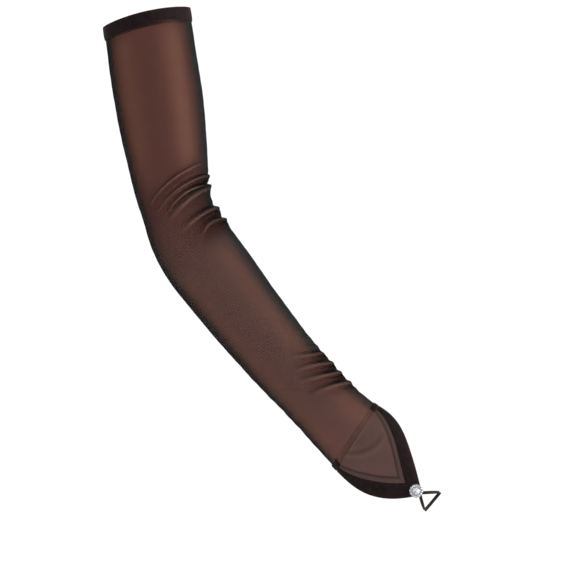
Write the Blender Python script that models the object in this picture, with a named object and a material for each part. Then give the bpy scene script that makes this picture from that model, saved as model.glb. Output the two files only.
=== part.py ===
"""A long sheer evening mitten in the shape it has on a bent arm, with a jewelled point over the hand.

Metres, +Z up. The origin is the centre of the top opening. The back of the hand faces -Y, and the arm runs
down and towards +X. A place on the cloth is given by its run, the distance down the arm from the top edge,
and by its turn, the angle round the arm: 0 is the inner side of the elbow, 90 the front, 180 the outer side
of the elbow and 270 the palm side.
"""

import math
from collections import namedtuple

import bmesh
import bpy
from mathutils import Matrix, Vector

MM = 0.001

# Cloth
SLEEVE_LENGTH = 442 * MM
TOP_WIDTH = 79 * MM
CLOTH_THICKNESS = 1.0 * MM
SEAM_GAP = 0.3 * MM
HEM_THICKNESS = 1.0 * MM
TOP_HEM_WIDTH = 12 * MM
RIM_ARCH_FRONT = 3.2 * MM
RIM_ARCH_PALM = 8.2 * MM
RIM_ARCH_REACH = 90 * MM

# Hand end
PALM_LENGTH = 3 * MM
POINT_LENGTH = 77.2 * MM
HEM_MITRE_LENGTH = 58.3 * MM
HEM_INNER_SPREAD = 0.90
HAND_HEADING = 49.0
HAND_SPREAD = 4.8 * MM
HAND_SPREAD_PACE = 1.95
HAND_BOW = 1.35 * MM
HAND_SWAY = 1.2 * MM
HAND_DROP = 5.0 * MM
POINT_ROUNDNESS = 1.0
POINT_FULLNESS = 0.49
MITRE_FULLNESS = 0.75

# Wrist elastic
ELASTIC_WIDTH = 6 * MM
ELASTIC_THICKNESS = 1.0 * MM
GATHER_HEIGHT = 0.6 * MM
GATHERS = 18
ELASTIC_WRAP = 35.0

# Folds
FOLD_HEIGHT = 3.4 * MM
FOLD_BREADTH = 3.6 * MM
CRUSH_DEPTH = 1.2 * MM
RIDGE_SQUARENESS = 1.7
RIDGE_STEEPNESS = 1.6
CRUSH_DISTANCE = 1.0
CRUSH_BREADTH = 0.6
FADE_FULLNESS = 0.8

# Brooch
CENTRE_STONE_DIAMETER = 6.0 * MM
RING_STONE_DIAMETER = 1.85 * MM
RING_STONES = 12
STONE_GAP = 0.25 * MM
METAL_WALL = 0.4 * MM
SCALLOP = 0.15 * MM
BROOCH_BASE = 0.8 * MM
BROOCH_INSET = 6.5 * MM
CUP_FLOOR = 0.6
CLAW_DIAMETER = 0.7 * MM
CLAW_SIDES = 5
CENTRE_CLAWS = 6
CENTRE_STONE_SIDES = 8
RING_STONE_SIDES = 5

# Cut of the stones, as shares of a stone's radius
TABLE_RADIUS = 0.56
CROWN_HEIGHT = 0.42
GIRDLE_HEIGHT = 0.06
PAVILION_DEPTH = 0.50
CULET_RADIUS = 0.25

# Finger loop
LOOP_WIDTH = 3.0 * MM
LOOP_THICKNESS = 0.8 * MM
FINGER_WIDTH = 19 * MM
LOOP_REACH = 10.8 * MM
LOOP_OFFSET = 1.3 * MM
LOOP_INSET = 0.5 * MM
FINGER_HEADING = 50.0

# Mesh fineness
COLUMNS = 26
COARSE_STEP = 16 * MM
HAND_ROWS = 7
HEM_STATIONS = 26
LOOP_STATIONS = 48
POINTS_PER_SCALLOP = 3

# The arm inside the sleeve. at: share of the sleeve's length. heading: the centre line's angle from straight
# down towards +X. tilt: how much further a section is turned. lean: the angle at which the centre line comes
# forward as it goes down. width: share of the top width. depth: share of the section's own width.
Section = namedtuple("Section", "at heading tilt lean width depth")
SECTIONS = (
    Section(at=0.00, heading=8.5, tilt=4.5, lean=1.0, width=1.014, depth=0.94),
    Section(at=0.19, heading=8.5, tilt=1.0, lean=2.0, width=1.018, depth=0.95),
    Section(at=0.33, heading=9.2, tilt=2.0, lean=3.0, width=0.900, depth=1.02),
    Section(at=0.40, heading=16.5, tilt=4.0, lean=3.5, width=0.828, depth=1.08),
    Section(at=0.46, heading=28.5, tilt=0.0, lean=3.5, width=0.898, depth=0.98),
    Section(at=0.53, heading=36.0, tilt=0.0, lean=2.5, width=0.935, depth=0.90),
    Section(at=0.66, heading=38.3, tilt=0.0, lean=2.0, width=0.884, depth=0.84),
    Section(at=0.82, heading=41.8, tilt=0.0, lean=1.0, width=0.803, depth=0.75),
    Section(at=0.92, heading=43.6, tilt=2.5, lean=0.0, width=0.787, depth=0.68),
    Section(at=1.00, heading=47.0, tilt=10.0, lean=0.0, width=0.862, depth=0.60),
)

# A fold is a ridge across the inner side of the elbow or of the wrist, steep on the side of the shoulder, where
# the cloth above is tucked under it. at: where it crosses the inner side, as a share of the sleeve's length.
# drift, bend: how far it has moved down the sleeve when it is round at the outer side, as shares of that
# length, the second with the square. low, peak, high: the turns where it starts, is highest and ends. height,
# breadth: shares of the named fold sizes.
Fold = namedtuple("Fold", "at drift bend low peak high height breadth")
FOLDS = (
    Fold(at=0.3188, drift=0.039, bend=0.044, low=28, peak=85, high=136, height=0.30, breadth=0.6),
    Fold(at=0.3495, drift=0.028, bend=0.049, low=-50, peak=35, high=128, height=0.60, breadth=0.8),
    Fold(at=0.3739, drift=-0.012, bend=0.104, low=-70, peak=15, high=120, height=0.85, breadth=0.8),
    Fold(at=0.3824, drift=0.041, bend=0.038, low=-70, peak=40, high=108, height=0.45, breadth=1.6),
    Fold(at=0.4353, drift=0.014, bend=0.038, low=-70, peak=10, high=94, height=0.85, breadth=1.3),
    Fold(at=0.4702, drift=-0.084, bend=0.338, low=-55, peak=10, high=74, height=0.80, breadth=1.2),
    Fold(at=0.8290, drift=-0.096, bend=0.000, low=-40, peak=25, high=78, height=0.25, breadth=1.1),
    Fold(at=0.8570, drift=-0.119, bend=0.083, low=-45, peak=15, high=88, height=0.40, breadth=1.2),
    Fold(at=0.8840, drift=-0.102, bend=0.044, low=-50, peak=15, high=92, height=0.45, breadth=1.2),
    Fold(at=0.9150, drift=-0.119, bend=0.099, low=-50, peak=15, high=96, height=0.50, breadth=1.3),
)

# Where the sections of the mesh lie close together. start, end: shares of the sleeve's length.
Zone = namedtuple("Zone", "start end step")
ZONES = (
    Zone(start=0.285, end=0.480, step=2.5 * MM),
    Zone(start=0.785, end=0.935, step=4.0 * MM),
)

# One side of the finger loop, from where it is sewn on to the palm side of the finger. along: share of the
# loop's reach. across: share of half the finger's width. out: share of the finger's width, towards the palm.
Stop = namedtuple("Stop", "along across out")
STOPS = (
    Stop(along=-0.12, across=0.00, out=0.00),
    Stop(along=-0.04, across=0.13, out=0.00),
    Stop(along=0.12, across=0.30, out=0.00),
    Stop(along=0.58, across=0.70, out=0.05),
    Stop(along=0.95, across=1.00, out=0.20),
    Stop(along=1.10, across=1.08, out=0.45),
    Stop(along=1.14, across=0.80, out=0.80),
    Stop(along=1.16, across=0.00, out=0.98),
)

CLOTH_BLACK = (0.020, 0.013, 0.011, 1.0)
HEM_BLACK = (0.010, 0.008, 0.009, 1.0)
RIBBON_BLACK = (0.020, 0.013, 0.011, 1.0)
SILVER = (0.78, 0.78, 0.80, 1.0)
CRYSTAL = (0.92, 0.94, 0.97, 1.0)


def clear_scene():
    for obj in list(bpy.data.objects):
        bpy.data.objects.remove(obj)


def material(name, colour, roughness, metallic=0.0, alpha=1.0):
    made = bpy.data.materials.new(name)
    made.use_nodes = True
    shader = made.node_tree.nodes["Principled BSDF"]
    shader.inputs["Base Color"].default_value = colour
    shader.inputs["Roughness"].default_value = roughness
    shader.inputs["Metallic"].default_value = metallic
    shader.inputs["Alpha"].default_value = alpha
    return made


def smooth_value(column, at):
    """The value of one column of SECTIONS at a share of the length, on a smooth curve through its rows."""
    rows = SECTIONS
    last = len(rows) - 1
    i = max(j for j in range(last) if rows[j].at <= at or j == 0)
    low, high = rows[i], rows[i + 1]
    span = high.at - low.at
    t = min(max((at - low.at) / span, 0.0), 1.0)

    def slope(j):
        before, after = rows[max(j - 1, 0)], rows[min(j + 1, last)]
        return (getattr(after, column) - getattr(before, column)) / (after.at - before.at)

    start, end = getattr(low, column), getattr(high, column)
    m0, m1 = slope(i) * span, slope(i + 1) * span
    rise = end - start
    return start + t * m0 + t * t * (3 * rise - 2 * m0 - m1) + t**3 * (m0 + m1 - 2 * rise)


def direction(heading, lean):
    """The unit vector down the arm for a heading and a lean in degrees."""
    h, l = math.radians(heading), math.radians(lean)
    return Vector((math.sin(h) * math.cos(l), -math.sin(l), -math.cos(h) * math.cos(l)))


def centre_line(steps=400):
    """Points down the middle of the sleeve, evenly spaced along its length."""
    points = [Vector((0.0, 0.0, 0.0))]
    for i in range(steps):
        at = (i + 0.5) / steps
        way = direction(smooth_value("heading", at), smooth_value("lean", at))
        points.append(points[-1] + way * (SLEEVE_LENGTH / steps))
    return points


CENTRE_LINE = centre_line()


def centre(at):
    place = at * (len(CENTRE_LINE) - 1)
    i = min(max(int(place), 0), len(CENTRE_LINE) - 2)
    return CENTRE_LINE[i].lerp(CENTRE_LINE[i + 1], place - i)


def across(at):
    """The two directions of a section: towards the inner side of the elbow, and towards the front."""
    lean = smooth_value("lean", at)
    turned = smooth_value("heading", at) + smooth_value("tilt", at)
    h = math.radians(turned)
    inner = Vector((math.cos(h), 0.0, math.sin(h)))
    return inner, direction(turned, lean).cross(inner)


def fade(turn, fold):
    """How much of a fold is left at a turn, 1 at its peak and 0 where it starts and ends."""
    turn = (turn + 180.0) % 360.0 - 180.0
    share = (turn - fold.peak) / (fold.high - fold.peak if turn > fold.peak else fold.peak - fold.low)
    if abs(share) >= 1.0:
        return 0.0
    return math.cos(share * math.pi / 2) ** FADE_FULLNESS


def fold_rise(at, turn):
    """How far the cloth stands out of its smooth form: ridges, with the cloth drawn in above them."""
    half_round = (1 - math.cos(math.radians(turn))) / 2
    rise = 0.0
    for fold in FOLDS:
        left = fade(turn, fold)
        if not left:
            continue
        middle = fold.at + fold.drift * half_round + fold.bend * half_round**2
        off = (at - middle) * SLEEVE_LENGTH / (FOLD_BREADTH * fold.breadth)
        steep = RIDGE_STEEPNESS if off < 0 else 1.0
        ridge = math.exp(-((abs(off) * steep) ** RIDGE_SQUARENESS)) * FOLD_HEIGHT
        dip = math.exp(-(((off + CRUSH_DISTANCE) / CRUSH_BREADTH) ** 2)) * CRUSH_DEPTH
        rise += left * fold.height * (ridge - dip)
    return rise


def surface(run, turn, offset):
    """A point of the cloth's outer face, moved out by offset, on the arm or on the hand."""
    towards_front = math.sin(math.radians(turn))
    arch = RIM_ARCH_FRONT if towards_front > 0 else RIM_ARCH_PALM
    run -= arch * towards_front**2 * max(1 - run / RIM_ARCH_REACH, 0.0)
    at = min(run / SLEEVE_LENGTH, 1.0)
    inner, front = across(at)
    half_width = smooth_value("width", at) * TOP_WIDTH / 2
    half_depth = half_width * smooth_value("depth", at)
    middle = centre(at)
    past = run - SLEEVE_LENGTH
    if past > 0:
        share = past / (PALM_LENGTH + POINT_LENGTH)
        half_width += HAND_SPREAD * math.sin(min(share * HAND_SPREAD_PACE, 1.0) * math.pi / 2)
        half_depth -= HAND_DROP * share * share * (3 - 2 * share)
        sideways = HAND_SWAY * math.sin(2 * math.pi * share) - HAND_BOW * math.sin(math.pi * share)
        middle = middle + direction(HAND_HEADING, 0.0) * past + inner * sideways
    out = offset + fold_rise(at, turn)
    towards_inner = math.cos(math.radians(turn))
    return middle + inner * (half_width + out) * towards_inner + front * (half_depth + out) * towards_front


def point_reach(spread):
    """How far the hand's point reaches past the palm edge at a spread, 0 in the middle and 1 at the sides."""
    return POINT_LENGTH * max(1 - abs(spread) ** POINT_ROUNDNESS, 0.0) ** POINT_FULLNESS


def end_run(turn):
    """The run at which the cloth ends."""
    edge = SLEEVE_LENGTH + PALM_LENGTH
    if math.sin(math.radians(turn)) > 1e-6:
        edge += point_reach(math.cos(math.radians(turn)))
    return edge


def add_object(name, mesh, look):
    mesh.materials.append(look)
    obj = bpy.data.objects.new(name, mesh)
    bpy.context.scene.collection.objects.link(obj)
    return obj


def finished_mesh(bm, name, smooth_angle=40.0):
    bmesh.ops.recalc_face_normals(bm, faces=bm.faces)
    bmesh.ops.triangulate(bm, faces=bm.faces)
    mesh = bpy.data.meshes.new(name)
    bm.to_mesh(mesh)
    bm.free()
    mesh.shade_smooth()
    mesh.set_sharp_from_angle(angle=math.radians(smooth_angle))
    return mesh


def cloth_wall(name, outside, inside, closed, look):
    """A wall between two grids of points. closed joins the last column of the grids to the first."""
    bm = bmesh.new()
    grids = [[[bm.verts.new(p) for p in column] for column in grid] for grid in (outside, inside)]
    outer, inner = grids
    columns, rows = len(outer), len(outer[0])
    for c in range(columns if closed else columns - 1):
        d = (c + 1) % columns
        for r in range(rows - 1):
            bm.faces.new((outer[c][r], outer[d][r], outer[d][r + 1], outer[c][r + 1]))
            bm.faces.new((inner[c][r], inner[c][r + 1], inner[d][r + 1], inner[d][r]))
        for r in (0, rows - 1):
            bm.faces.new((outer[c][r], inner[c][r], inner[d][r], outer[d][r]))
    if not closed:
        for c in (0, columns - 1):
            for r in range(rows - 1):
                bm.faces.new((outer[c][r], outer[c][r + 1], inner[c][r + 1], inner[c][r]))
    add_object(name, finished_mesh(bm, name), look)


def sleeve_runs():
    """The runs of the sleeve's sections, close together where it folds."""
    runs = [0.0]
    while runs[-1] < SLEEVE_LENGTH:
        at = runs[-1] / SLEEVE_LENGTH
        steps = [zone.step for zone in ZONES if zone.start <= at < zone.end]
        runs.append(runs[-1] + (steps[0] if steps else COARSE_STEP))
    scale = SLEEVE_LENGTH / runs[-1]
    return [run * scale for run in runs]


def make_sleeve(look):
    """The tube of sheer net, which runs on over the back of the hand as a point."""
    turns = [360.0 * c / COLUMNS for c in range(COLUMNS)]
    body = sleeve_runs()

    def column(turn, offset):
        beyond = end_run(turn) - SLEEVE_LENGTH
        hand = [SLEEVE_LENGTH + beyond * (r + 1) / HAND_ROWS for r in range(HAND_ROWS)]
        return [surface(run, turn, offset) for run in body + hand]

    outside = [column(turn, 0.0) for turn in turns]
    inside = [column(turn, -CLOTH_THICKNESS) for turn in turns]
    cloth_wall("sleeve", outside, inside, True, look)


def make_top_hem(look):
    """The doubled band round the upper arm, sewn on the outside of the sleeve's top edge."""
    turns = [360.0 * c / COLUMNS for c in range(COLUMNS)]
    runs = [TOP_HEM_WIDTH * share for share in (0.0, 0.5, 1.0)]

    def grid(offset):
        return [[surface(run, turn, offset) for run in runs] for turn in turns]

    cloth_wall("top_hem", grid(SEAM_GAP + HEM_THICKNESS), grid(SEAM_GAP), True, look)


def hem_place(angle, depth):
    """Run and turn on the point's hem. angle: -90 to 90 from side to side. depth: 0 at the edge, 1 inside."""
    share = abs(angle) / 90.0
    side = math.sin(math.radians(angle))
    palm_edge = SLEEVE_LENGTH + PALM_LENGTH
    outer_turn = 90.0 - angle
    outer_run = palm_edge + point_reach(side)
    inner_turn = math.degrees(math.acos(HEM_INNER_SPREAD * angle / 90.0))
    inner_run = palm_edge + HEM_MITRE_LENGTH * (1 - share**POINT_ROUNDNESS) ** MITRE_FULLNESS
    return outer_run + (inner_run - outer_run) * depth, outer_turn + (inner_turn - outer_turn) * depth


def make_point_hem(look):
    """The doubled band along both edges of the point, from wrist to wrist."""
    angles = [-90.0 + 180.0 * i / HEM_STATIONS for i in range(HEM_STATIONS + 1)]
    depths = [0.0, 0.33, 0.67, 1.0]

    def grid(offset):
        return [[surface(*hem_place(angle, depth), offset) for depth in depths] for angle in angles]

    cloth_wall("point_hem", grid(SEAM_GAP + HEM_THICKNESS), grid(SEAM_GAP), False, look)


def make_wrist_elastic(look):
    """The gathered elastic along the palm edge, which wraps round both sides of the wrist."""
    first, last = -180.0 - ELASTIC_WRAP, ELASTIC_WRAP
    steps = GATHERS * 4
    lower = SLEEVE_LENGTH + PALM_LENGTH - SEAM_GAP
    runs = [lower - ELASTIC_WIDTH, lower]
    outside, inside = [], []
    for i in range(steps + 1):
        turn = first + (last - first) * i / steps
        gather = GATHER_HEIGHT * (1 - math.cos(2 * math.pi * i / 4)) / 2
        top = SEAM_GAP + ELASTIC_THICKNESS + gather
        outside.append([surface(run, turn, top) for run in runs])
        inside.append([surface(run, turn, SEAM_GAP) for run in runs])
    cloth_wall("wrist_elastic", outside, inside, False, look)


def seat(run, turn, offset):
    """A matrix at a point of the cloth: x across the hand, y up the arm, z straight out of the cloth."""
    step = 2 * MM
    middle = surface(run, turn, offset)
    up = surface(run - step, turn, offset) - surface(run + step, turn, offset)
    side = surface(run, turn - 2, offset) - surface(run, turn + 2, offset)
    out = side.cross(up).normalized()
    side = up.cross(out).normalized()
    up = out.cross(side)
    turned = Matrix((side, up, out)).transposed().to_4x4()
    return Matrix.Translation(middle) @ turned


def ring(bm, radius, height, count, middle=(0.0, 0.0)):
    points = []
    for i in range(count):
        x = middle[0] + radius * math.cos(2 * math.pi * i / count)
        y = middle[1] + radius * math.sin(2 * math.pi * i / count)
        points.append(bm.verts.new((x, y, height)))
    return points


def bridge(bm, low, high):
    """Faces between two rings, one of which may have twice as many points as the other."""
    if len(low) == len(high):
        for i in range(len(low)):
            j = (i + 1) % len(low)
            bm.faces.new((low[i], low[j], high[j], high[i]))
        return
    few, many = (low, high) if len(low) < len(high) else (high, low)
    for i in range(len(few)):
        j = (i + 1) % len(few)
        a, b, c = many[2 * i], many[2 * i + 1], many[(2 * i + 2) % len(many)]
        bm.faces.new((few[i], a, b))
        bm.faces.new((few[i], b, few[j]))
        bm.faces.new((few[j], b, c))


def cut_stone(name, diameter, sides, place, look):
    """A round cut stone: a flat table, crown facets, a girdle and a pointed back cut short."""
    radius = diameter / 2
    girdle = radius * GIRDLE_HEIGHT
    bm = bmesh.new()
    rings = [
        ring(bm, radius * CULET_RADIUS, -radius * PAVILION_DEPTH, sides),
        ring(bm, radius, -girdle, 2 * sides),
        ring(bm, radius, girdle, 2 * sides),
        ring(bm, radius * TABLE_RADIUS, radius * CROWN_HEIGHT, sides),
    ]
    bm.faces.new(rings[0])
    for low, high in zip(rings, rings[1:]):
        bridge(bm, low, high)
    bm.faces.new(rings[-1])
    stone = add_object(name, finished_mesh(bm, name, 1.0), look)
    stone.matrix_world = place


def stone_height(diameter):
    """How far a stone's girdle stands above the back of the brooch."""
    return BROOCH_BASE + diameter / 2 * PAVILION_DEPTH + STONE_GAP


def brooch_radii():
    """Radii of the centre stone's cup, of the circle of small stones and of the rim."""
    cup = CENTRE_STONE_DIAMETER / 2 + STONE_GAP
    circle = cup + METAL_WALL + STONE_GAP + RING_STONE_DIAMETER / 2
    return cup, circle, circle + RING_STONE_DIAMETER / 2 + STONE_GAP


def add_claw(bm, radius, turn, top):
    """A claw at a distance and a turn from the middle of the brooch: a post with a narrower head."""
    middle = (radius * math.cos(turn), radius * math.sin(turn))
    wide = CLAW_DIAMETER / 2
    rings = [
        ring(bm, wide, BROOCH_BASE / 2, CLAW_SIDES, middle),
        ring(bm, wide, top - wide, CLAW_SIDES, middle),
        ring(bm, wide / 2, top, CLAW_SIDES, middle),
    ]
    bm.faces.new(rings[0])
    for low, high in zip(rings, rings[1:]):
        bridge(bm, low, high)
    bm.faces.new(rings[-1])


def make_setting(place, look):
    """The metal: a scalloped dish with a cup for the centre stone, and claws between the stones."""
    cup, _, rim = brooch_radii()
    cup_top = stone_height(CENTRE_STONE_DIAMETER) - STONE_GAP
    rim_top = stone_height(RING_STONE_DIAMETER)
    outside = rim + METAL_WALL
    profile = [
        (outside - BROOCH_BASE, 0.0, 0.0),
        (outside, BROOCH_BASE / 2, SCALLOP),
        (outside, rim_top, SCALLOP),
        (rim, rim_top, SCALLOP),
        (rim, BROOCH_BASE, SCALLOP),
        (cup + METAL_WALL, BROOCH_BASE, 0.0),
        (cup + METAL_WALL, cup_top, 0.0),
        (cup, cup_top, 0.0),
        (cup * CUP_FLOOR, BROOCH_BASE, 0.0),
    ]
    bm = bmesh.new()
    rings = []
    for radius, height, scallop in profile:
        points = []
        for i in range(RING_STONES * POINTS_PER_SCALLOP):
            a = 2 * math.pi * i / (RING_STONES * POINTS_PER_SCALLOP)
            r = radius + scallop * math.cos(a * RING_STONES)
            points.append(bm.verts.new((r * math.cos(a), r * math.sin(a), height)))
        rings.append(points)
    for low, high in zip(rings, rings[1:]):
        bridge(bm, low, high)
    bm.faces.new(rings[0])
    bm.faces.new(rings[-1])
    setting = add_object("brooch_setting", finished_mesh(bm, "brooch_setting", 30.0), look)
    setting.matrix_world = place

    bm = bmesh.new()
    for i in range(RING_STONES):
        add_claw(bm, rim, 2 * math.pi * (i + 0.5) / RING_STONES, rim_top + CLAW_DIAMETER / 2)
    for i in range(CENTRE_CLAWS):
        turn = 2 * math.pi * (i + 0.25) / CENTRE_CLAWS
        add_claw(bm, cup + METAL_WALL / 2, turn, cup_top + CLAW_DIAMETER)
    claws = add_object("claws", finished_mesh(bm, "claws"), look)
    claws.matrix_world = place
    claws.hide_render = True
    claws.display_type = "WIRE"
    union = setting.modifiers.new("claws", "BOOLEAN")
    union.operation = "UNION"
    union.object = claws


def make_brooch(silver, crystal):
    run = SLEEVE_LENGTH + PALM_LENGTH + POINT_LENGTH - BROOCH_INSET
    place = seat(run, 90.0, SEAM_GAP * 2 + HEM_THICKNESS)
    make_setting(place, silver)
    _, circle, _ = brooch_radii()
    up = Matrix.Translation((0.0, 0.0, stone_height(CENTRE_STONE_DIAMETER)))
    cut_stone("centre_stone", CENTRE_STONE_DIAMETER, CENTRE_STONE_SIDES, place @ up, crystal)
    for i in range(RING_STONES):
        turn = 2 * math.pi * i / RING_STONES
        spot = (circle * math.cos(turn), circle * math.sin(turn), stone_height(RING_STONE_DIAMETER))
        seat_of_stone = place @ Matrix.Translation(spot)
        name = f"ring_stone_{i + 1:02d}"
        cut_stone(name, RING_STONE_DIAMETER, RING_STONE_SIDES, seat_of_stone, crystal)


def loop_route():
    """Points round the finger loop: distances along the finger, across it and out of the hand."""
    half = (FINGER_WIDTH + LOOP_THICKNESS) / 2
    one_side = [(stop.along * LOOP_REACH, stop.across * half, -stop.out * FINGER_WIDTH) for stop in STOPS]
    other_side = [(along, -across, out) for along, across, out in one_side[-2:0:-1]]

    def shifted(along, across, out):
        return along, across + LOOP_OFFSET * min(max(along / LOOP_REACH, 0.0), 1.0), out

    return [shifted(*point) for point in one_side + other_side]


def closed_curve(points, count, fine=12):
    """Evenly spaced points on a smooth closed curve through the given ones."""
    dense = []
    for i in range(len(points)):
        before, start, end, after = (Vector(points[(i + k) % len(points)]) for k in (-1, 0, 1, 2))
        for j in range(fine):
            t = j / fine
            bend = before - 2.5 * start + 2 * end - after / 2
            twist = (after - before + 3 * (start - end)) / 2
            dense.append(start + t * (end - before) / 2 + t * t * bend + t**3 * twist)
    lengths = [0.0]
    for i, point in enumerate(dense):
        lengths.append(lengths[-1] + (dense[(i + 1) % len(dense)] - point).length)
    even, i = [], 0
    for k in range(count):
        goal = lengths[-1] * k / count
        while lengths[i + 1] < goal:
            i += 1
        share = (goal - lengths[i]) / (lengths[i + 1] - lengths[i])
        even.append(dense[i].lerp(dense[(i + 1) % len(dense)], share))
    return even


def make_finger_loop(look):
    """The narrow ribbon sewn behind the tip of the point, which goes once round the middle finger."""
    tip_run = SLEEVE_LENGTH + PALM_LENGTH + POINT_LENGTH - LOOP_INSET
    start = surface(tip_run, 90.0, -CLOTH_THICKNESS - SEAM_GAP - LOOP_THICKNESS / 2)
    h = math.radians(FINGER_HEADING)
    along = Vector((math.sin(h), 0.0, -math.cos(h)))
    sideways = Vector((math.cos(h), 0.0, math.sin(h)))
    out = along.cross(sideways)
    curve = closed_curve(loop_route(), LOOP_STATIONS)
    path = [start + along * a + sideways * b + out * c for a, b, c in curve]
    bm = bmesh.new()
    rings = []
    for i, point in enumerate(path):
        ahead = (path[(i + 1) % len(path)] - path[i - 1]).normalized()
        wide = (along - ahead * along.dot(ahead)).normalized() * LOOP_WIDTH / 2
        thick = ahead.cross(wide).normalized() * LOOP_THICKNESS / 2
        corners = (point + wide + thick, point - wide + thick, point - wide - thick, point + wide - thick)
        rings.append([bm.verts.new(corner) for corner in corners])
    for i in range(len(rings)):
        bridge(bm, rings[i], rings[(i + 1) % len(rings)])
    add_object("finger_loop", finished_mesh(bm, "finger_loop", 50.0), look)


def main():
    clear_scene()
    net = material("sheer_net", CLOTH_BLACK, 0.7, alpha=0.75)
    satin = material("doubled_hem", HEM_BLACK, 0.5)
    elastic = material("gathered_elastic", HEM_BLACK, 0.35)
    ribbon = material("loop_ribbon", RIBBON_BLACK, 0.55)
    silver = material("plated_setting", SILVER, 0.15, metallic=1.0)
    crystal = material("cut_crystal", CRYSTAL, 0.02)
    make_sleeve(net)
    make_top_hem(satin)
    make_point_hem(satin)
    make_wrist_elastic(elastic)
    make_brooch(silver, crystal)
    make_finger_loop(ribbon)


main()
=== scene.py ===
import math
from collections import namedtuple

import bpy
import numpy as np
from bpy.props import FloatProperty, FloatVectorProperty, IntProperty, PointerProperty
from mathutils import Matrix, Vector


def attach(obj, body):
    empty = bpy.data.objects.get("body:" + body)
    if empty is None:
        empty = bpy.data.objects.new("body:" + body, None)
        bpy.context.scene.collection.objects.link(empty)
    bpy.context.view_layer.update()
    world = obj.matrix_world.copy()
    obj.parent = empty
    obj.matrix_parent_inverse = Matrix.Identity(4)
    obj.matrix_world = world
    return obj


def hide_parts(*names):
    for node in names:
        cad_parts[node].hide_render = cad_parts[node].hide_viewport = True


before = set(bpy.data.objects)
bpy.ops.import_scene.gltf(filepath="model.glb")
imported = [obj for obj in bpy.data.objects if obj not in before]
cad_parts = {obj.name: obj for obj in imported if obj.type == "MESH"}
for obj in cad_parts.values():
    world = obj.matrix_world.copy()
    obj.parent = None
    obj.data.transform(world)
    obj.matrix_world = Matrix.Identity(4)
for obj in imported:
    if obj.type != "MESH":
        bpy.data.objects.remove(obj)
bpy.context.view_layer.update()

bl_info = {
    "name": "Sheer evening mitten",
    "version": (1, 0, 0),
    "blender": (4, 5, 0),
    "location": "3D View > Sidebar > Mitten",
    "description": "A long sheer mitten with opaque hems, a gathered wrist, a brooch and a finger loop",
    "category": "Object",
}

MM = 0.001
BODY = "root"

# Form of the worn cloth. These are the named values of the part's source, with finer folds on top.
# A place on the cloth is its run, the distance down the arm from the rim, and its turn, the angle round the
# arm: 0 is the inner side of the elbow, 90 the front, 180 the outer side of the elbow and 270 the palm side.

SLEEVE_LENGTH = 442 * MM
TOP_WIDTH = 79 * MM
CLOTH_THICKNESS = 1.0 * MM
SEAM_GAP = 0.3 * MM
HEM_THICKNESS = 1.0 * MM
TOP_HEM_WIDTH = 12 * MM
RIM_ARCH_FRONT = 3.2 * MM
RIM_ARCH_PALM = 8.2 * MM
RIM_ARCH_REACH = 90 * MM

PALM_LENGTH = 3 * MM
POINT_LENGTH = 77.2 * MM
HEM_MITRE_LENGTH = 58.3 * MM
HEM_INNER_SPREAD = 0.90
HAND_HEADING = 49.0
HAND_SPREAD = 4.8 * MM
HAND_SPREAD_PACE = 1.95
HAND_BOW = 1.35 * MM
HAND_SWAY = 1.2 * MM
HAND_DROP = 5.0 * MM
POINT_ROUNDNESS = 1.0
POINT_FULLNESS = 0.49
MITRE_FULLNESS = 0.75

# at: share of the sleeve's length, heading, tilt, lean (degrees), width: share of TOP_WIDTH, depth: of width
SECTIONS = np.array((
    (0.00, 8.5, 4.5, 1.0, 1.014, 0.94),
    (0.19, 8.5, 1.0, 2.0, 1.018, 0.95),
    (0.33, 9.2, 2.0, 3.0, 0.900, 1.02),
    (0.40, 16.5, 4.0, 3.5, 0.828, 1.08),
    (0.46, 28.5, 0.0, 3.5, 0.898, 0.98),
    (0.53, 36.0, 0.0, 2.5, 0.935, 0.90),
    (0.66, 38.3, 0.0, 2.0, 0.884, 0.84),
    (0.82, 41.8, 0.0, 1.0, 0.803, 0.75),
    (0.92, 43.6, 2.5, 0.0, 0.787, 0.68),
    (1.00, 47.0, 10.0, 0.0, 0.862, 0.60),
))
HEADING, TILT, LEAN, WIDTH, DEPTH = range(1, 6)

# A fold is a ridge across the inner side of the elbow or of the wrist, steep on the side of the shoulder,
# where the cloth above is tucked under it. at, drift and bend are shares of the sleeve's length; low, peak
# and high the turns where it starts, is highest and ends; height and breadth shares of the named fold sizes,
# and mark how plainly the painted highlight on its crest and the painted shade in its crease show in the net.
FOLD_BREADTH = 3.6 * MM
CRUSH_DEPTH = 1.2 * MM
FADE_FULLNESS = 0.8
MARK_FULLNESS = 0.5
# A fold's section, in shares of its breadth from the top of its ridge, and the sum that counts as wholly
# crushed, where the painted shade on crushed net is full.
STEEP_BREADTH = 0.625
GENTLE_POWER = 1.5
DIP_PLACE, DIP_BREADTH = -1.0, 0.5
CREST_PLACE, CREST_BREADTH = 0.05, 0.30
CREASE_PLACE, CREASE_BREADTH = -0.8, 0.42
CRUSH_BREADTH = 2.4
CRUSH_SUM = 1.5
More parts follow.
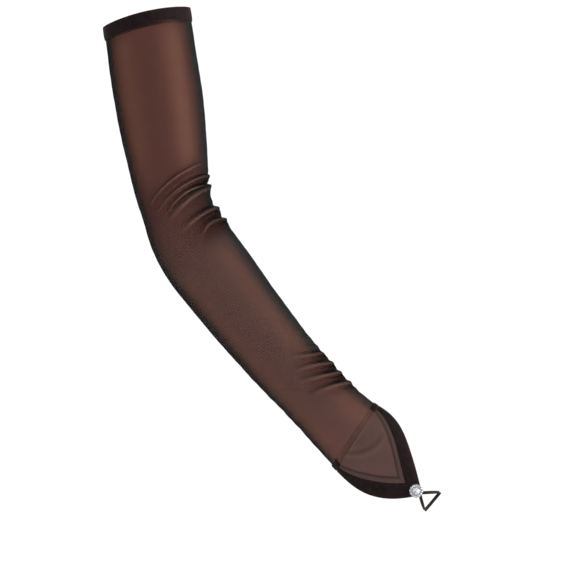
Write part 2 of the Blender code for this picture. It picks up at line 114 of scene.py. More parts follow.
# How plainly the painted crest highlights and crease shade show at the inner side of the arm and at its
# front, and the turns between which that changes.
LINES_CHANGE = (5.0, 80.0)
SIDE_CREST, FRONT_CREST = 0.35, 1.0
SIDE_CREASE, FRONT_CREASE = 1.5, 0.7
Fold = namedtuple("Fold", "at drift bend low peak high height breadth mark")
FOLDS = (
    Fold(0.3188, 0.039, 0.044, 28, 85, 136, 0.30, 0.7, 1.0),
    Fold(0.3495, 0.028, 0.049, -50, 35, 128, 0.60, 0.8, 0.9),
    Fold(0.3739, -0.012, 0.104, -70, 15, 120, 0.85, 0.8, 1.0),
    Fold(0.3824, 0.041, 0.038, -70, 40, 108, 0.45, 1.6, 0.8),
    Fold(0.4353, 0.014, 0.038, -70, 10, 94, 0.85, 1.3, 1.0),
    Fold(0.4702, -0.084, 0.338, -55, 10, 74, 0.80, 1.2, 0.9),
    Fold(0.8290, -0.096, 0.000, -40, 25, 78, 0.25, 1.1, 0.8),
    Fold(0.8570, -0.119, 0.083, -45, 15, 88, 0.40, 1.2, 0.9),
    Fold(0.8840, -0.102, 0.044, -50, 15, 92, 0.45, 1.2, 1.0),
    Fold(0.9150, -0.119, 0.099, -50, 15, 96, 0.50, 1.3, 1.0),
)
# Fine creases between them, which only the dressed model has.
FINE_FOLDS = (
    Fold(0.3340, 0.034, 0.046, 30, 80, 122, 0.10, 0.5, 0.3),
    Fold(0.3570, 0.020, 0.055, 15, 60, 112, 0.10, 0.5, 0.3),
    Fold(0.3830, -0.012, 0.104, 30, 65, 108, 0.10, 0.5, 0.3),
    Fold(0.4070, 0.040, 0.030, 20, 55, 84, 0.08, 0.9, 0.1),
    Fold(0.4470, 0.014, 0.050, -40, 5, 55, 0.14, 0.7, 0.2),
    Fold(0.4840, -0.030, 0.120, -40, 0, 48, 0.14, 1.0, 0.2),
    Fold(0.8100, -0.096, 0.000, -30, 30, 70, 0.12, 1.0, 0.2),
    Fold(0.8430, -0.105, 0.040, -30, 20, 76, 0.14, 0.8, 0.2),
    Fold(0.8710, -0.110, 0.060, -30, 20, 80, 0.14, 0.8, 0.2),
    Fold(0.8990, -0.110, 0.070, -30, 20, 84, 0.16, 0.8, 0.2),
    Fold(0.9340, -0.110, 0.090, -30, 20, 80, 0.18, 1.0, 0.2),
    Fold(0.8440, 0.875, -1.052, 64, 90, 114, 0.08, 1.6, 0.06),
    Fold(0.9304, 0.531, -0.662, 56, 90, 126, 0.08, 1.8, 0.07),
    Fold(1.0254, 0.172, -0.254, 60, 98, 152, 0.08, 1.6, 0.20),
)
# start, end: shares of the length. step: distance of the mesh's sections there.
ZONES = ((0.295, 0.510, 1.0 * MM), (0.640, 0.960, 1.3 * MM))
COARSE_STEP = 3.0 * MM


def ramp(x, start, end):
    """A soft step from 0 at start to 1 at end, whichever of the two is lower."""
    share = np.clip((x - start) / (end - start), 0.0, 1.0)
    return share * share * (3 - 2 * share)


def bell(distance, breadth, power=2):
    """1 at distance 0, and near 0 from about twice the breadth on."""
    return np.exp(-((np.abs(distance) / breadth) ** power))


def signed_turn(turn):
    """A turn as -180 to 180 degrees, with 0 at the inner side of the elbow."""
    return (turn + 180.0) % 360.0 - 180.0


def table_value(column, at):
    """One column of SECTIONS at shares of the length, on a smooth curve through its rows."""
    x, y = SECTIONS[:, 0], SECTIONS[:, column]
    ahead, behind = np.minimum(np.arange(len(x)) + 1, len(x) - 1), np.maximum(np.arange(len(x)) - 1, 0)
    slope = (y[ahead] - y[behind]) / (x[ahead] - x[behind])
    i = np.clip(np.searchsorted(x, at, side="right") - 1, 0, len(x) - 2)
    span = x[i + 1] - x[i]
    t = np.clip((at - x[i]) / span, 0.0, 1.0)
    m0, m1, rise = slope[i] * span, slope[i + 1] * span, y[i + 1] - y[i]
    return y[i] + t * m0 + t * t * (3 * rise - 2 * m0 - m1) + t**3 * (m0 + m1 - 2 * rise)


def direction(heading, lean):
    """Unit vectors down the arm for headings and leans in degrees."""
    heading, lean = np.radians(heading), np.radians(lean)
    down = -np.cos(heading) * np.cos(lean)
    return np.stack((np.sin(heading) * np.cos(lean), -np.sin(lean), down), axis=-1)


def centre_line(steps=400):
    at = (np.arange(steps) + 0.5) / steps
    ways = direction(table_value(HEADING, at), table_value(LEAN, at)) * SLEEVE_LENGTH / steps
    return np.vstack(((0.0, 0.0, 0.0), np.cumsum(ways, axis=0)))


CENTRE_LINE = centre_line()


def centre(at):
    place = np.asarray(at) * (len(CENTRE_LINE) - 1)
    i = np.clip(place.astype(int), 0, len(CENTRE_LINE) - 2)
    share = (place - i)[..., None]
    return CENTRE_LINE[i] * (1 - share) + CENTRE_LINE[i + 1] * share


def folds_at(at, turn, fold_height):
    """Rise of the folds at a place, and how much painted highlight along a crest, painted shade along a
    crease and painted shade on crushed net there is.
    """
    half_round = (1 - np.cos(np.radians(turn))) / 2
    signed = signed_turn(turn)
    facing = ramp(signed, *LINES_CHANGE)
    crest_mark = SIDE_CREST + (FRONT_CREST - SIDE_CREST) * facing
    crease_mark = SIDE_CREASE + (FRONT_CREASE - SIDE_CREASE) * facing
    rise, crest_highlight, crease_shade, crush_shade = (np.zeros(np.broadcast(at, turn).shape) for _ in range(4))
    for fold in FOLDS + FINE_FOLDS:
        span = np.where(signed > fold.peak, fold.high - fold.peak, fold.peak - fold.low)
        fade = np.cos(np.minimum(np.abs(signed - fold.peak) / span, 1.0) * math.pi / 2)
        plain = fold.mark * fade**MARK_FULLNESS
        middle = fold.at + fold.drift * half_round + fold.bend * half_round**2
        off = (at - middle) * SLEEVE_LENGTH / (FOLD_BREADTH * fold.breadth)
        ridge = np.where(off < 0, bell(off, STEEP_BREADTH), bell(off, 1.0, GENTLE_POWER))
        dip = bell(off - DIP_PLACE, DIP_BREADTH)
        rise += fade**FADE_FULLNESS * fold.height * (ridge * fold_height - dip * CRUSH_DEPTH)
        crest_highlight += plain * crest_mark * bell(off - CREST_PLACE, CREST_BREADTH)
        crease_shade += plain * crease_mark * bell(off - CREASE_PLACE, CREASE_BREADTH)
        crush_shade += plain * bell(off, CRUSH_BREADTH)
    return rise, np.clip(crest_highlight, 0, 1), np.clip(crease_shade, 0, 1), np.clip(crush_shade / CRUSH_SUM, 0, 1)


def surface(run, turn, offset, rise=0.0):
    """Points of the cloth's outer face, moved out by offset and by the rise of its folds."""
    run, turn, offset, rise = np.broadcast_arrays(run, turn, offset, rise)
    cos, sin = np.cos(np.radians(turn))[..., None], np.sin(np.radians(turn))[..., None]
    arch = np.where(sin[..., 0] > 0, RIM_ARCH_FRONT, RIM_ARCH_PALM)
    run = run - arch * sin[..., 0] ** 2 * np.maximum(1 - run / RIM_ARCH_REACH, 0.0)
    at = np.minimum(run / SLEEVE_LENGTH, 1.0)
    turned = table_value(HEADING, at) + table_value(TILT, at)
    h = np.radians(turned)
    inner = np.stack((np.cos(h), np.zeros_like(h), np.sin(h)), axis=-1)
    front = np.cross(direction(turned, table_value(LEAN, at)), inner)
    half_width = table_value(WIDTH, at) * TOP_WIDTH / 2
    half_depth = half_width * table_value(DEPTH, at)
    past = np.maximum(run - SLEEVE_LENGTH, 0.0)
    share = np.minimum(past / (PALM_LENGTH + POINT_LENGTH), 1.0)
    half_width = half_width + HAND_SPREAD * np.sin(np.minimum(share * HAND_SPREAD_PACE, 1.0) * math.pi / 2)
    half_depth = half_depth - HAND_DROP * share * share * (3 - 2 * share)
    sideways = HAND_SWAY * np.sin(2 * math.pi * share) - HAND_BOW * np.sin(math.pi * share)
    middle = centre(at) + direction(HAND_HEADING, 0.0) * past[..., None] + inner * sideways[..., None]
    out = offset + rise
    return middle + inner * (half_width + out)[..., None] * cos + front * (half_depth + out)[..., None] * sin


def point_reach(spread):
    """How far the point reaches past the palm edge, where spread is 0 in the middle and 1 at a side."""
    return POINT_LENGTH * np.maximum(1 - np.abs(spread) ** POINT_ROUNDNESS, 0.0) ** POINT_FULLNESS


def end_run(turn):
    """The run at which the cloth ends."""
    radians = np.radians(turn)
    return SLEEVE_LENGTH + PALM_LENGTH + np.where(np.sin(radians) > 1e-6, point_reach(np.cos(radians)), 0.0)


def hem_inner_run(angle):
    """The run of the point hem's inner edge, for an angle of -90 to 90 from side to side."""
    share = np.abs(angle) / 90.0
    return SLEEVE_LENGTH + PALM_LENGTH + HEM_MITRE_LENGTH * (1 - share**POINT_ROUNDNESS) ** MITRE_FULLNESS


def hem_place(angle, depth):
    """Run and turn on the point's hem: angle is -90 to 90 across it, depth 0 to 1 from its edge in."""
    outer_run = SLEEVE_LENGTH + PALM_LENGTH + point_reach(np.sin(np.radians(angle)))
    outer_turn = 90.0 - angle
    inner_turn = np.degrees(np.arccos(HEM_INNER_SPREAD * angle / 90.0))
    run = outer_run + (hem_inner_run(angle) - outer_run) * depth
    return run, outer_turn + (inner_turn - outer_turn) * depth


def seat(run, turn, offset):
    """A matrix at a point of the cloth: x across the hand, y up the arm, z straight out of the cloth."""
    step = 2 * MM
    middle = Vector(surface(run, turn, offset))
    up = Vector(surface(run - step, turn, offset)) - Vector(surface(run + step, turn, offset))
    side = Vector(surface(run, turn - 2, offset)) - Vector(surface(run, turn + 2, offset))
    out = side.cross(up).normalized()
    side = up.cross(out).normalized()
    turned = Matrix((side, out.cross(side), out)).transposed().to_4x4()
    return Matrix.Translation(middle) @ turned


# Helpers for meshes and materials


def linear(colour):
    """An sRGB hex colour as linear red, green and blue."""
    parts = [int(colour[i : i + 2], 16) / 255 for i in (1, 3, 5)]
    return tuple(p / 12.92 if p <= 0.04045 else ((p + 0.055) / 1.055) ** 2.4 for p in parts)


def add_node(tree, kind, inputs=None, **settings):
    """Adds a node. inputs gives a socket a value, or links it where the value is another node's socket. A Mix
    node's colours are its inputs 6 and 7 and its output 2."""
    made = tree.nodes.new(kind)
    for name, value in settings.items():
        setattr(made, name, value)
    for socket, value in (inputs or {}).items():
        if isinstance(value, bpy.types.NodeSocket):
            tree.links.new(value, made.inputs[socket])
        else:
            made.inputs[socket].default_value = value
    return made


def new_material(name):
    made = bpy.data.materials.new(name)
    made.use_nodes = True
    made.node_tree.nodes.clear()
    return made, made.node_tree


def show(tree, surface_socket, volume_socket=None):
    links = {"Surface": surface_socket}
    if volume_socket:
        links["Volume"] = volume_socket
    add_node(tree, "ShaderNodeOutputMaterial", links)


def add_piece(name, mesh, material, nodes):
    """Links a finished mesh as a piece that rides on the body and stands for CAD nodes."""
    mesh.materials.clear()
    mesh.materials.append(material)
    piece = bpy.data.objects.new(name, mesh)
    bpy.context.scene.collection.objects.link(piece)
    return settle(piece, nodes)


def settle(piece, nodes):
    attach(piece, BODY)
    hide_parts(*nodes)
    return piece


def wall_mesh(name, outside, inside, closed, across, along, values, sharp_angle=50.0):
    """A thin closed wall between two grids of points, indexed by column and row. across and along are the
    cloth's own coordinates in metres for the UV map, values the point attributes as grids. closed joins the
    last column to the first."""
    columns, rows = outside.shape[:2]
    count = columns * rows
    points = np.concatenate((outside.reshape(-1, 3), inside.reshape(-1, 3)))
    index = np.arange(count).reshape(columns, rows)
    left = index if closed else index[:-1]
    right = np.roll(index, -1, axis=0) if closed else index[1:]
    a, b, c, d = left[:, :-1], right[:, :-1], right[:, 1:], left[:, 1:]
    outer_faces = np.stack((a, b, c, d), axis=-1).reshape(-1, 4)
    inner_faces = outer_faces[:, ::-1] + count
    faces = [outer_faces, inner_faces]
    for row, flip in ((0, True), (rows - 1, False)):
        rim = np.stack((left[:, row], right[:, row], right[:, row] + count, left[:, row] + count), axis=-1)
        faces.append(rim[:, ::-1] if flip else rim)
    if not closed:
        for column, flip in ((0, False), (columns - 1, True)):
            edge = index[column]
            side = np.stack((edge[:-1], edge[1:], edge[1:] + count, edge[:-1] + count), axis=-1)
            faces.append(side[:, ::-1] if flip else side)
    faces = np.concatenate(faces)
    mesh = bpy.data.meshes.new(name)
    mesh.from_pydata(points, [], faces)
    if signed_volume(points, faces) < 0:
        mesh.flip_normals()
    mesh.shade_smooth()
    mesh.set_sharp_from_angle(angle=math.radians(sharp_angle))
    write_uv(mesh, np.tile(np.stack((across, along), axis=-1).reshape(-1, 2), (2, 1)), closed)
    for attribute, grid in values.items():
        layer = mesh.attributes.new(attribute, "FLOAT", "POINT")
        layer.data.foreach_set("value", np.tile(grid.reshape(-1), 2).astype(np.float32))
    return mesh


def signed_volume(points, faces):
    p = points[faces]
    first = np.einsum("ij,ij->i", p[:, 0], np.cross(p[:, 1], p[:, 2]))
    second = np.einsum("ij,ij->i", p[:, 0], np.cross(p[:, 2], p[:, 3]))
    return (first + second).sum()


def write_uv(mesh, places, closed):
    """The cloth's own coordinates as a UV map, carried on past the seam of a closed wall."""
    corners = np.empty(len(mesh.loops), np.int32)
    mesh.loops.foreach_get("vertex_index", corners)
    uv = places[corners].reshape(-1, 4, 2)
    if closed:
        whole = places[:, 0].max() + (places[:, 0].max() - places[:, 0].min()) / 100
        low = uv[..., 0].max(axis=1, keepdims=True) - uv[..., 0] > whole / 2
        uv[..., 0] += np.where(low, whole, 0.0)
    layer = mesh.uv_layers.new(name="cloth")
    layer.data.foreach_set("uv", uv.reshape(-1).astype(np.float32))


# Sewn bands: the height at an edge against the full height, how full the shoulders are, and the stitches.
EDGE_HEIGHT = 0.25
SHOULDER_POWER = 0.3
STITCH_BREADTH = 0.35 * MM
STITCH_DEPTH = 0.28 * MM
STITCH_END = 0.35


def grid(columns, rows, closed):
    """Shares from 0 to 1 along the columns and along the rows. A closed grid stops one column short of 1."""
    along = np.arange(columns) / (columns if closed else columns - 1)
    return np.meshgrid(along, np.arange(rows) / (rows - 1), indexing="ij")


def band_profile(share):
    """Height across a sewn band, lowest at both edges and 1 in the middle, with soft shoulders."""
    return EDGE_HEIGHT + (1 - EDGE_HEIGHT) * np.sin(share * math.pi) ** SHOULDER_POWER


def stitch_groove(along, length, from_row):
    """Depth of a row of stitches of this length, for a place along the row and a distance from it."""
    stitch = np.abs(np.sin(math.pi * along / length))
    return STITCH_DEPTH * bell(from_row, STITCH_BREADTH) * (STITCH_END + (1 - STITCH_END) * stitch)


# Materials


def wave_scale(spacing):
    """The scale at which a Wave texture repeats once in this many metres."""
    return math.pi / 10 / spacing


NYLON_IOR = 1.53
# The rows of a knit lie wider apart than its ribs, and stand less high.
ROW_SPACING = 1.3
ROW_HEIGHT = 0.35
# A noise texture stays almost wholly between these values.
NOISE_LOW, NOISE_HIGH = 0.3, 0.7


def knit(tree, spacing):
    """Height of a knit with this spacing in metres: ribs down the cloth, crossed by shallower rows."""
    place = add_node(tree, "ShaderNodeUVMap", uv_map="cloth").outputs["UV"]
    uneven = {"Vector": place, "Distortion": 0.6, "Detail": 1.0, "Detail Scale": 2.0}
    ribs = add_node(tree, "ShaderNodeTexWave", {**uneven, "Scale": wave_scale(spacing)}, bands_direction="X")
    rows = add_node(tree, "ShaderNodeTexWave", {**uneven, "Scale": wave_scale(spacing * ROW_SPACING)},
                    bands_direction="Y")
    lower = add_node(tree, "ShaderNodeMath", {0: ribs.outputs["Fac"], 1: 1 - ROW_HEIGHT},
                     operation="MULTIPLY")
    height = add_node(tree, "ShaderNodeMath", {0: rows.outputs["Fac"], 1: ROW_HEIGHT, 2: lower.outputs[0]},
                      operation="MULTIPLY_ADD")
    return place, height.outputs[0]


def mottled(tree, place, colour, scale, detail, darkest, brightest):
    """A colour that a noise shades from darkest to brightest, and the noise."""
    noise = add_node(tree, "ShaderNodeTexNoise", {"Vector": place, "Scale": scale, "Detail": detail})
    noise = noise.outputs["Fac"]
    shade = add_node(tree, "ShaderNodeMapRange", {0: noise, 1: NOISE_LOW, 2: NOISE_HIGH, 3: darkest,
                     4: brightest})
    shaded = add_node(tree, "ShaderNodeMix", {0: 1.0, 6: colour, 7: shade.outputs[0]}, data_type="RGBA",
                      blend_type="MULTIPLY")
    return shaded.outputs[2], noise


# What the mesh of the net says about each place, and how much more of a face yarn covers there. Crests and
# the strips carry painted highlight; creases, crushed net and the sides carry painted shade.
NET_MARKS = ("crest_highlight", "crease_shade", "crush_shade", "single", "highlight_strip", "side", "thin", "allowance", "stitching", "lower")
CREST_HIGHLIGHT_COVER = 0.07
CREASE_SHADE_COVER = 0.46
CRUSH_SHADE_COVER = 0.08
HIGHLIGHT_STRIP_COVER = -0.03
ALLOWANCE_COVER = 0.12
STITCHING_COVER = 0.16
# The knit, the grain and the mottle vary the cover, and what they add is taken off it first.
KNIT_COVER = 0.04
GRAIN_SCALE, GRAIN_COVER = 430.0, 0.03
MOTTLE_SCALE, MOTTLE_COVER = 90.0, 0.06
PATTERN_COVER = 0.09
ALLOWANCE_SHOWN = 0.7


def sheer_net_material(cloth):
    """Stretch net, knitted from fine black nylon yarn: the light that comes through it is brown, and it
    darkens towards its outline and in its creases, where more yarn lies in the line of sight. Over that,
    shade is painted into the creases, onto crushed net and along the sides, and highlights onto the crests
    of the folds and in strips down the arm."""
    material, tree = new_material("knitted_nylon_net")
    place, height = knit(tree, cloth.net_spacing)
    grain = add_node(tree, "ShaderNodeTexNoise", {"Vector": place, "Scale": GRAIN_SCALE, "Detail": 2.0})
    mottle = add_node(tree, "ShaderNodeTexNoise", {"Vector": place, "Scale": MOTTLE_SCALE, "Detail": 3.0})
    crest_highlight, crease_shade, crush_shade, single, highlight_strip, side, thin, allowance, stitching, lower = (
        add_node(tree, "ShaderNodeAttribute", attribute_name=name).outputs["Fac"] for name in NET_MARKS)
    # share of the face that yarn covers
    cover = add_node(tree, "ShaderNodeMath", {0: height, 1: KNIT_COVER, 2: cloth.cover - PATTERN_COVER},
                     operation="MULTIPLY_ADD")
    for source, amount in ((grain.outputs["Fac"], GRAIN_COVER), (mottle.outputs["Fac"], MOTTLE_COVER),
                           (crush_shade, CRUSH_SHADE_COVER), (crease_shade, CREASE_SHADE_COVER), (crest_highlight, CREST_HIGHLIGHT_COVER),
                           (single, cloth.panel_cover), (highlight_strip, HIGHLIGHT_STRIP_COVER), (side, cloth.outline_shade_cover),
                           (thin, -cloth.stretch_gain), (allowance, ALLOWANCE_COVER),
                           (stitching, STITCHING_COVER)):
        cover = add_node(tree, "ShaderNodeMath", {0: source, 1: amount, 2: cover.outputs[0]},
                         operation="MULTIPLY_ADD", use_clamp=True)
    # colour of the yarn, each mark's laid over those before it: lighter as painted highlight on the strips
    # and crests, darker as painted shade along the sides, on crushed net and in creases, and dark on the
    # stitches
    shown = add_node(tree, "ShaderNodeMath", {0: allowance, 1: ALLOWANCE_SHOWN}, operation="MULTIPLY")
    colour = (*cloth.yarn_colour, 1.0)
    for source, shade in ((lower, cloth.lower_colour), (highlight_strip, cloth.highlight_strip_colour), (side, cloth.outline_shade_colour),
                          (single, cloth.panel_colour), (crush_shade, cloth.crease_shade_and_stitch_colour),
                          (shown.outputs[0], cloth.allowance_colour), (crest_highlight, cloth.crest_highlight_colour),
                          (crease_shade, cloth.crease_shade_and_stitch_colour), (stitching, cloth.crease_shade_and_stitch_colour)):
        laid = add_node(tree, "ShaderNodeMix", {0: source, 6: colour, 7: (*shade, 1.0)}, data_type="RGBA")
        colour = laid.outputs[2]
    relief = add_node(tree, "ShaderNodeBump", {"Height": height, "Strength": 0.1, "Distance": 0.2 * MM})
    yarn = add_node(tree, "ShaderNodeBsdfPrincipled", {"Base Color": colour, "Roughness": 0.6,
                    "IOR": NYLON_IOR, "Specular IOR Level": 0.01, "Normal": relief.outputs["Normal"]})
    gap = add_node(tree, "ShaderNodeBsdfTransparent", {"Color": (*cloth.light_through, 1.0)})
    face = add_node(tree, "ShaderNodeMixShader", {0: cover.outputs[0], 1: gap.outputs[0], 2: yarn.outputs[0]})
    depth = add_node(tree, "ShaderNodeVolumeAbsorption", {"Color": (0.0, 0.0, 0.0, 1.0),
                     "Density": cloth.depth})
    show(tree, face.outputs[0], depth.outputs[0])
    return material


def doubled_net_material(hem):
    """The same net, folded double and pressed: opaque black with a soft sheen, and red-brown at its cut edge,
    where light creeps through."""
    material, tree = new_material("doubled_nylon_net")
    place, height = knit(tree, hem.knit_spacing)
    edge = add_node(tree, "ShaderNodeAttribute", attribute_name="edge")
    tint = add_node(tree, "ShaderNodeMix", {0: edge.outputs["Fac"], 6: (*hem.colour, 1.0),
                    7: (*hem.edge_colour, 1.0)}, data_type="RGBA")
    colour, mottle = mottled(tree, place, tint.outputs[2], 160.0, 4.0, 0.75, 1.3)
    rough = add_node(tree, "ShaderNodeMapRange", {0: mottle, 1: NOISE_LOW, 2: NOISE_HIGH, 3: 0.42, 4: 0.6})
    relief = add_node(tree, "ShaderNodeBump", {"Height": height, "Strength": 0.35, "Distance": 0.3 * MM})
    cloth = add_node(tree, "ShaderNodeBsdfPrincipled", {"Base Color": colour, "Roughness": rough.outputs[0],
                     "IOR": NYLON_IOR, "Specular IOR Level": 0.01, "Normal": relief.outputs["Normal"]})
    show(tree, cloth.outputs[0])
    return material


# Painted shade in the hollows between the gathers.
ELASTIC_HOLLOW_SHADE = linear("#120e10")
ELASTIC_GAP = (0.97, 0.92, 0.90)
# Where the elastic is bunched at the sides of the wrist, it is closer and its painted glints are fainter. Its
# cover varies by GATHER_COVER either way between the gathers and the hollows.
BUNCHED_COVER = 0.75
BUNCHED_GLINT = -0.7
GATHER_COVER = 0.15


def elastic_material(elastic):
    """Rubber threads covered in nylon, with the net gathered over them: black, with small grey glints painted
    on the crowns of the gathers and painted shade in the hollows between them.
    """
    material, tree = new_material("gathered_nylon_elastic")
    _, height = knit(tree, elastic.thread_spacing)
    crown, bunched = (add_node(tree, "ShaderNodeAttribute", attribute_name=name).outputs["Fac"]
                      for name in ("crown", "bunched"))
    # painted glints on the crowns of the gathers, fainter where the band is bunched
    glint = add_node(tree, "ShaderNodeMath", {0: bunched, 1: BUNCHED_GLINT, 2: crown},
                     operation="MULTIPLY_ADD", use_clamp=True)
    colour = add_node(tree, "ShaderNodeMix", {0: glint.outputs[0], 6: (*ELASTIC_HOLLOW_SHADE, 1.0),
                      7: (*elastic.colour, 1.0)}, data_type="RGBA")
    relief = add_node(tree, "ShaderNodeBump", {"Height": height, "Strength": 0.5, "Distance": 0.3 * MM})
    cloth = add_node(tree, "ShaderNodeBsdfPrincipled", {"Base Color": colour.outputs[2], "Roughness": 0.42,
                     "IOR": NYLON_IOR, "Specular IOR Level": 0.05, "Normal": relief.outputs["Normal"]})
    gap = add_node(tree, "ShaderNodeBsdfTransparent", {"Color": (*ELASTIC_GAP, 1.0)})
    lying = add_node(tree, "ShaderNodeMapRange", {0: crown, 3: elastic.cover - GATHER_COVER,
                     4: elastic.cover + GATHER_COVER})
    cover = add_node(tree, "ShaderNodeMath", {0: bunched, 1: BUNCHED_COVER, 2: lying.outputs[0]},
                     operation="MULTIPLY_ADD", use_clamp=True)
    face = add_node(tree, "ShaderNodeMixShader", {0: cover.outputs[0], 1: gap.outputs[0],
                    2: cloth.outputs[0]})
    show(tree, face.outputs[0])
    return material


def ribbon_material(loop):
    """Narrow woven nylon ribbon: brown-black, with fine ribs across it and a slight shine."""
    material, tree = new_material("woven_nylon_ribbon")
    place = add_node(tree, "ShaderNodeUVMap", uv_map="cloth").outputs["UV"]
    ribs = add_node(tree, "ShaderNodeTexWave", {"Vector": place, "Scale": wave_scale(loop.rib_spacing)},
                    bands_direction="Y")
    colour, _ = mottled(tree, place, (*loop.colour, 1.0), 900.0, 2.0, 0.8, 1.25)
    relief = add_node(tree, "ShaderNodeBump", {"Height": ribs.outputs["Fac"], "Strength": 0.4,
                      "Distance": 0.2 * MM})
    cloth = add_node(tree, "ShaderNodeBsdfPrincipled", {"Base Color": colour, "Roughness": 0.5,
                     "IOR": NYLON_IOR, "Specular IOR Level": 0.12, "Normal": relief.outputs["Normal"]})
    show(tree, cloth.outputs[0])
    return material


PLATING_HOLLOW = linear("#777a80")


def plated_metal_material(brooch):
    """Cast brass with bright silver plating: mirror-like on the claws, a little grey in patches."""
    material, tree = new_material("silver_plated_brass")
    place = add_node(tree, "ShaderNodeTexCoord").outputs["Object"]
    wear = add_node(tree, "ShaderNodeTexNoise", {"Vector": place, "Scale": 700.0, "Detail": 3.0})
    wear = wear.outputs["Fac"]
    rough = add_node(tree, "ShaderNodeMapRange", {0: wear, 1: NOISE_LOW, 2: NOISE_HIGH, 3: 0.10, 4: 0.26})
    dull = add_node(tree, "ShaderNodeMix", {0: wear, 6: (*brooch.metal_colour, 1.0),
                    7: (*PLATING_HOLLOW, 1.0)}, data_type="RGBA")
    metal = add_node(tree, "ShaderNodeBsdfPrincipled", {"Base Color": dull.outputs[2], "Metallic": 1.0,
                     "Roughness": rough.outputs[0]})
    show(tree, metal.outputs[0])
    return material


def rhinestone_material(brooch):
    """Cut glass with a silver foil back under a clear gloss: the part of the room that each facet throws back
    is painted on it as a bright or a dark colour, so bright and dark facets lie side by side."""
    material, tree = new_material("foil_backed_cut_glass")
    facet = add_node(tree, "ShaderNodeAttribute", attribute_name="facet")
    colour = add_node(tree, "ShaderNodeMix", {0: facet.outputs["Fac"], 6: (*brooch.dark_facet_reflection, 1.0),
                      7: (*brooch.bright_facet_reflection, 1.0)}, data_type="RGBA")
    glass = add_node(tree, "ShaderNodeBsdfPrincipled", {"Base Color": colour.outputs[2], "Metallic": 0.85,
                     "Roughness": 0.06, "Coat Weight": 1.0, "Coat Roughness": 0.02, "Coat IOR": 1.55})
    show(tree, glass.outputs[0])
    return material


def paper_material(stage):
    """Matte white background paper, with a faint fibre mottle."""
    material, tree = new_material("matte_background_paper")
    place = add_node(tree, "ShaderNodeTexCoord").outputs["Object"]
    colour, _ = mottled(tree, place, (*stage.floor_colour, 1.0), 40.0, 4.0, 0.98, 1.0)
    paper = add_node(tree, "ShaderNodeBsdfPrincipled", {"Base Color": colour, "Roughness": 0.9,
                     "Specular IOR Level": 0.1})
    show(tree, paper.outputs[0])
    return material


# Settings that a user would change


def length_setting(name, description, default):
    return FloatProperty(name=name, description=description, default=default, min=0.0, precision=5,
                         unit="LENGTH", subtype="DISTANCE")


def share_setting(name, description, default):
    return FloatProperty(name=name, description=description, default=default, min=0.0, max=1.0,
                         subtype="FACTOR")


def strength_setting(name, description, default, unit="NONE"):
    return FloatProperty(name=name, description=description, default=default, min=0.0, unit=unit)


def colour_setting(name, description, default):
    return FloatVectorProperty(name=name, description=description, default=linear(default), size=3,
                               min=0.0, max=1.0, subtype="COLOR")


class ClothSettings(bpy.types.PropertyGroup):
    wall: length_setting("Wall", "Thickness of the net", 0.4 * MM)
    fold_height: length_setting("Fold height", "Height of the largest fold", 3.4 * MM)
    net_spacing: length_setting(
        "Net spacing", "Distance of the knitted ribs, drawn coarser than the real 0.5 mm to show", 1.8 * MM)
    cover: share_setting("Cover", "Share of a face that yarn covers", 0.28)
    # Painted shade: more cover along the sides of the arm.
    outline_shade_cover: share_setting("Side cover", "Share more along the sides, where it lies slack", 0.09)
    stretch_gain: share_setting("Stretch", "Share less on the palm side above the wrist", 0.10)
    panel_cover: share_setting(
        "Panel cover", "Share more on the back of the hand, where one layer lies alone", 0.35)
    depth: strength_setting("Depth", "How fast light fades in the wall, per metre", 1560.0)
    light_through: FloatVectorProperty(
        name="Light through", description="Colour of light that passes one face",
        default=(0.926, 0.715, 0.68), size=3, min=0.0, max=1.0, subtype="COLOR")
    yarn_colour: colour_setting("Yarn", "Colour of the yarn", "#3e3330")
    # Painted highlight: the lighter yarn along the crest of each fold.
    crest_highlight_colour: colour_setting("Crest", "Colour of the yarn on a fold's crest", "#776659")
    # Painted highlight: the lighter yarn in the strips down the arm, where the net is also a little thinner.
    highlight_strip_colour: colour_setting("Stretched yarn", "Colour of the yarn where the net is stretched", "#84624f")
    # Painted shade: the darker yarn along the sides of the arm.
    outline_shade_colour: colour_setting("Side yarn", "Colour of the yarn along the sides", "#2d3232")
    allowance_colour: colour_setting("Allowance", "Colour of the yarn in the hem's seam allowance", "#34322d")
    lower_colour: colour_setting("Yarn below", "Colour of the yarn from the elbow down", "#434541")
    # Painted shade in the creases and on crushed net; the stitches are drawn in the same dark colour.
    crease_shade_and_stitch_colour: colour_setting("Crease", "Colour of the yarn in a fold's crease", "#0f0b0a")
    panel_colour: colour_setting("Panel", "Colour of the yarn on the back of the hand", "#33221e")


class HemSettings(bpy.types.PropertyGroup):
    lift: length_setting("Lift", "Thickness of the doubled hem", 0.9 * MM)
    stitch_length: length_setting("Stitch", "Length of one stitch", 2.6 * MM)
    stitch_inset: length_setting("Stitch inset", "Distance of the stitches from the inner edge", 1.6 * MM)
    spread_out: length_setting("Spread", "How much wider the top hem is than its named width", 0.6 * MM)
    drawn_in: length_setting("Drawn in", "How much of that width it loses at the front", 3.0 * MM)
    knit_spacing: length_setting("Knit spacing", "Distance of the pressed ribs", 1.4 * MM)
    colour: colour_setting("Hem", "Colour of the doubled net", "#1b1415")
    edge_colour: colour_setting("Hem edge", "Colour of the folded edge", "#301a18")


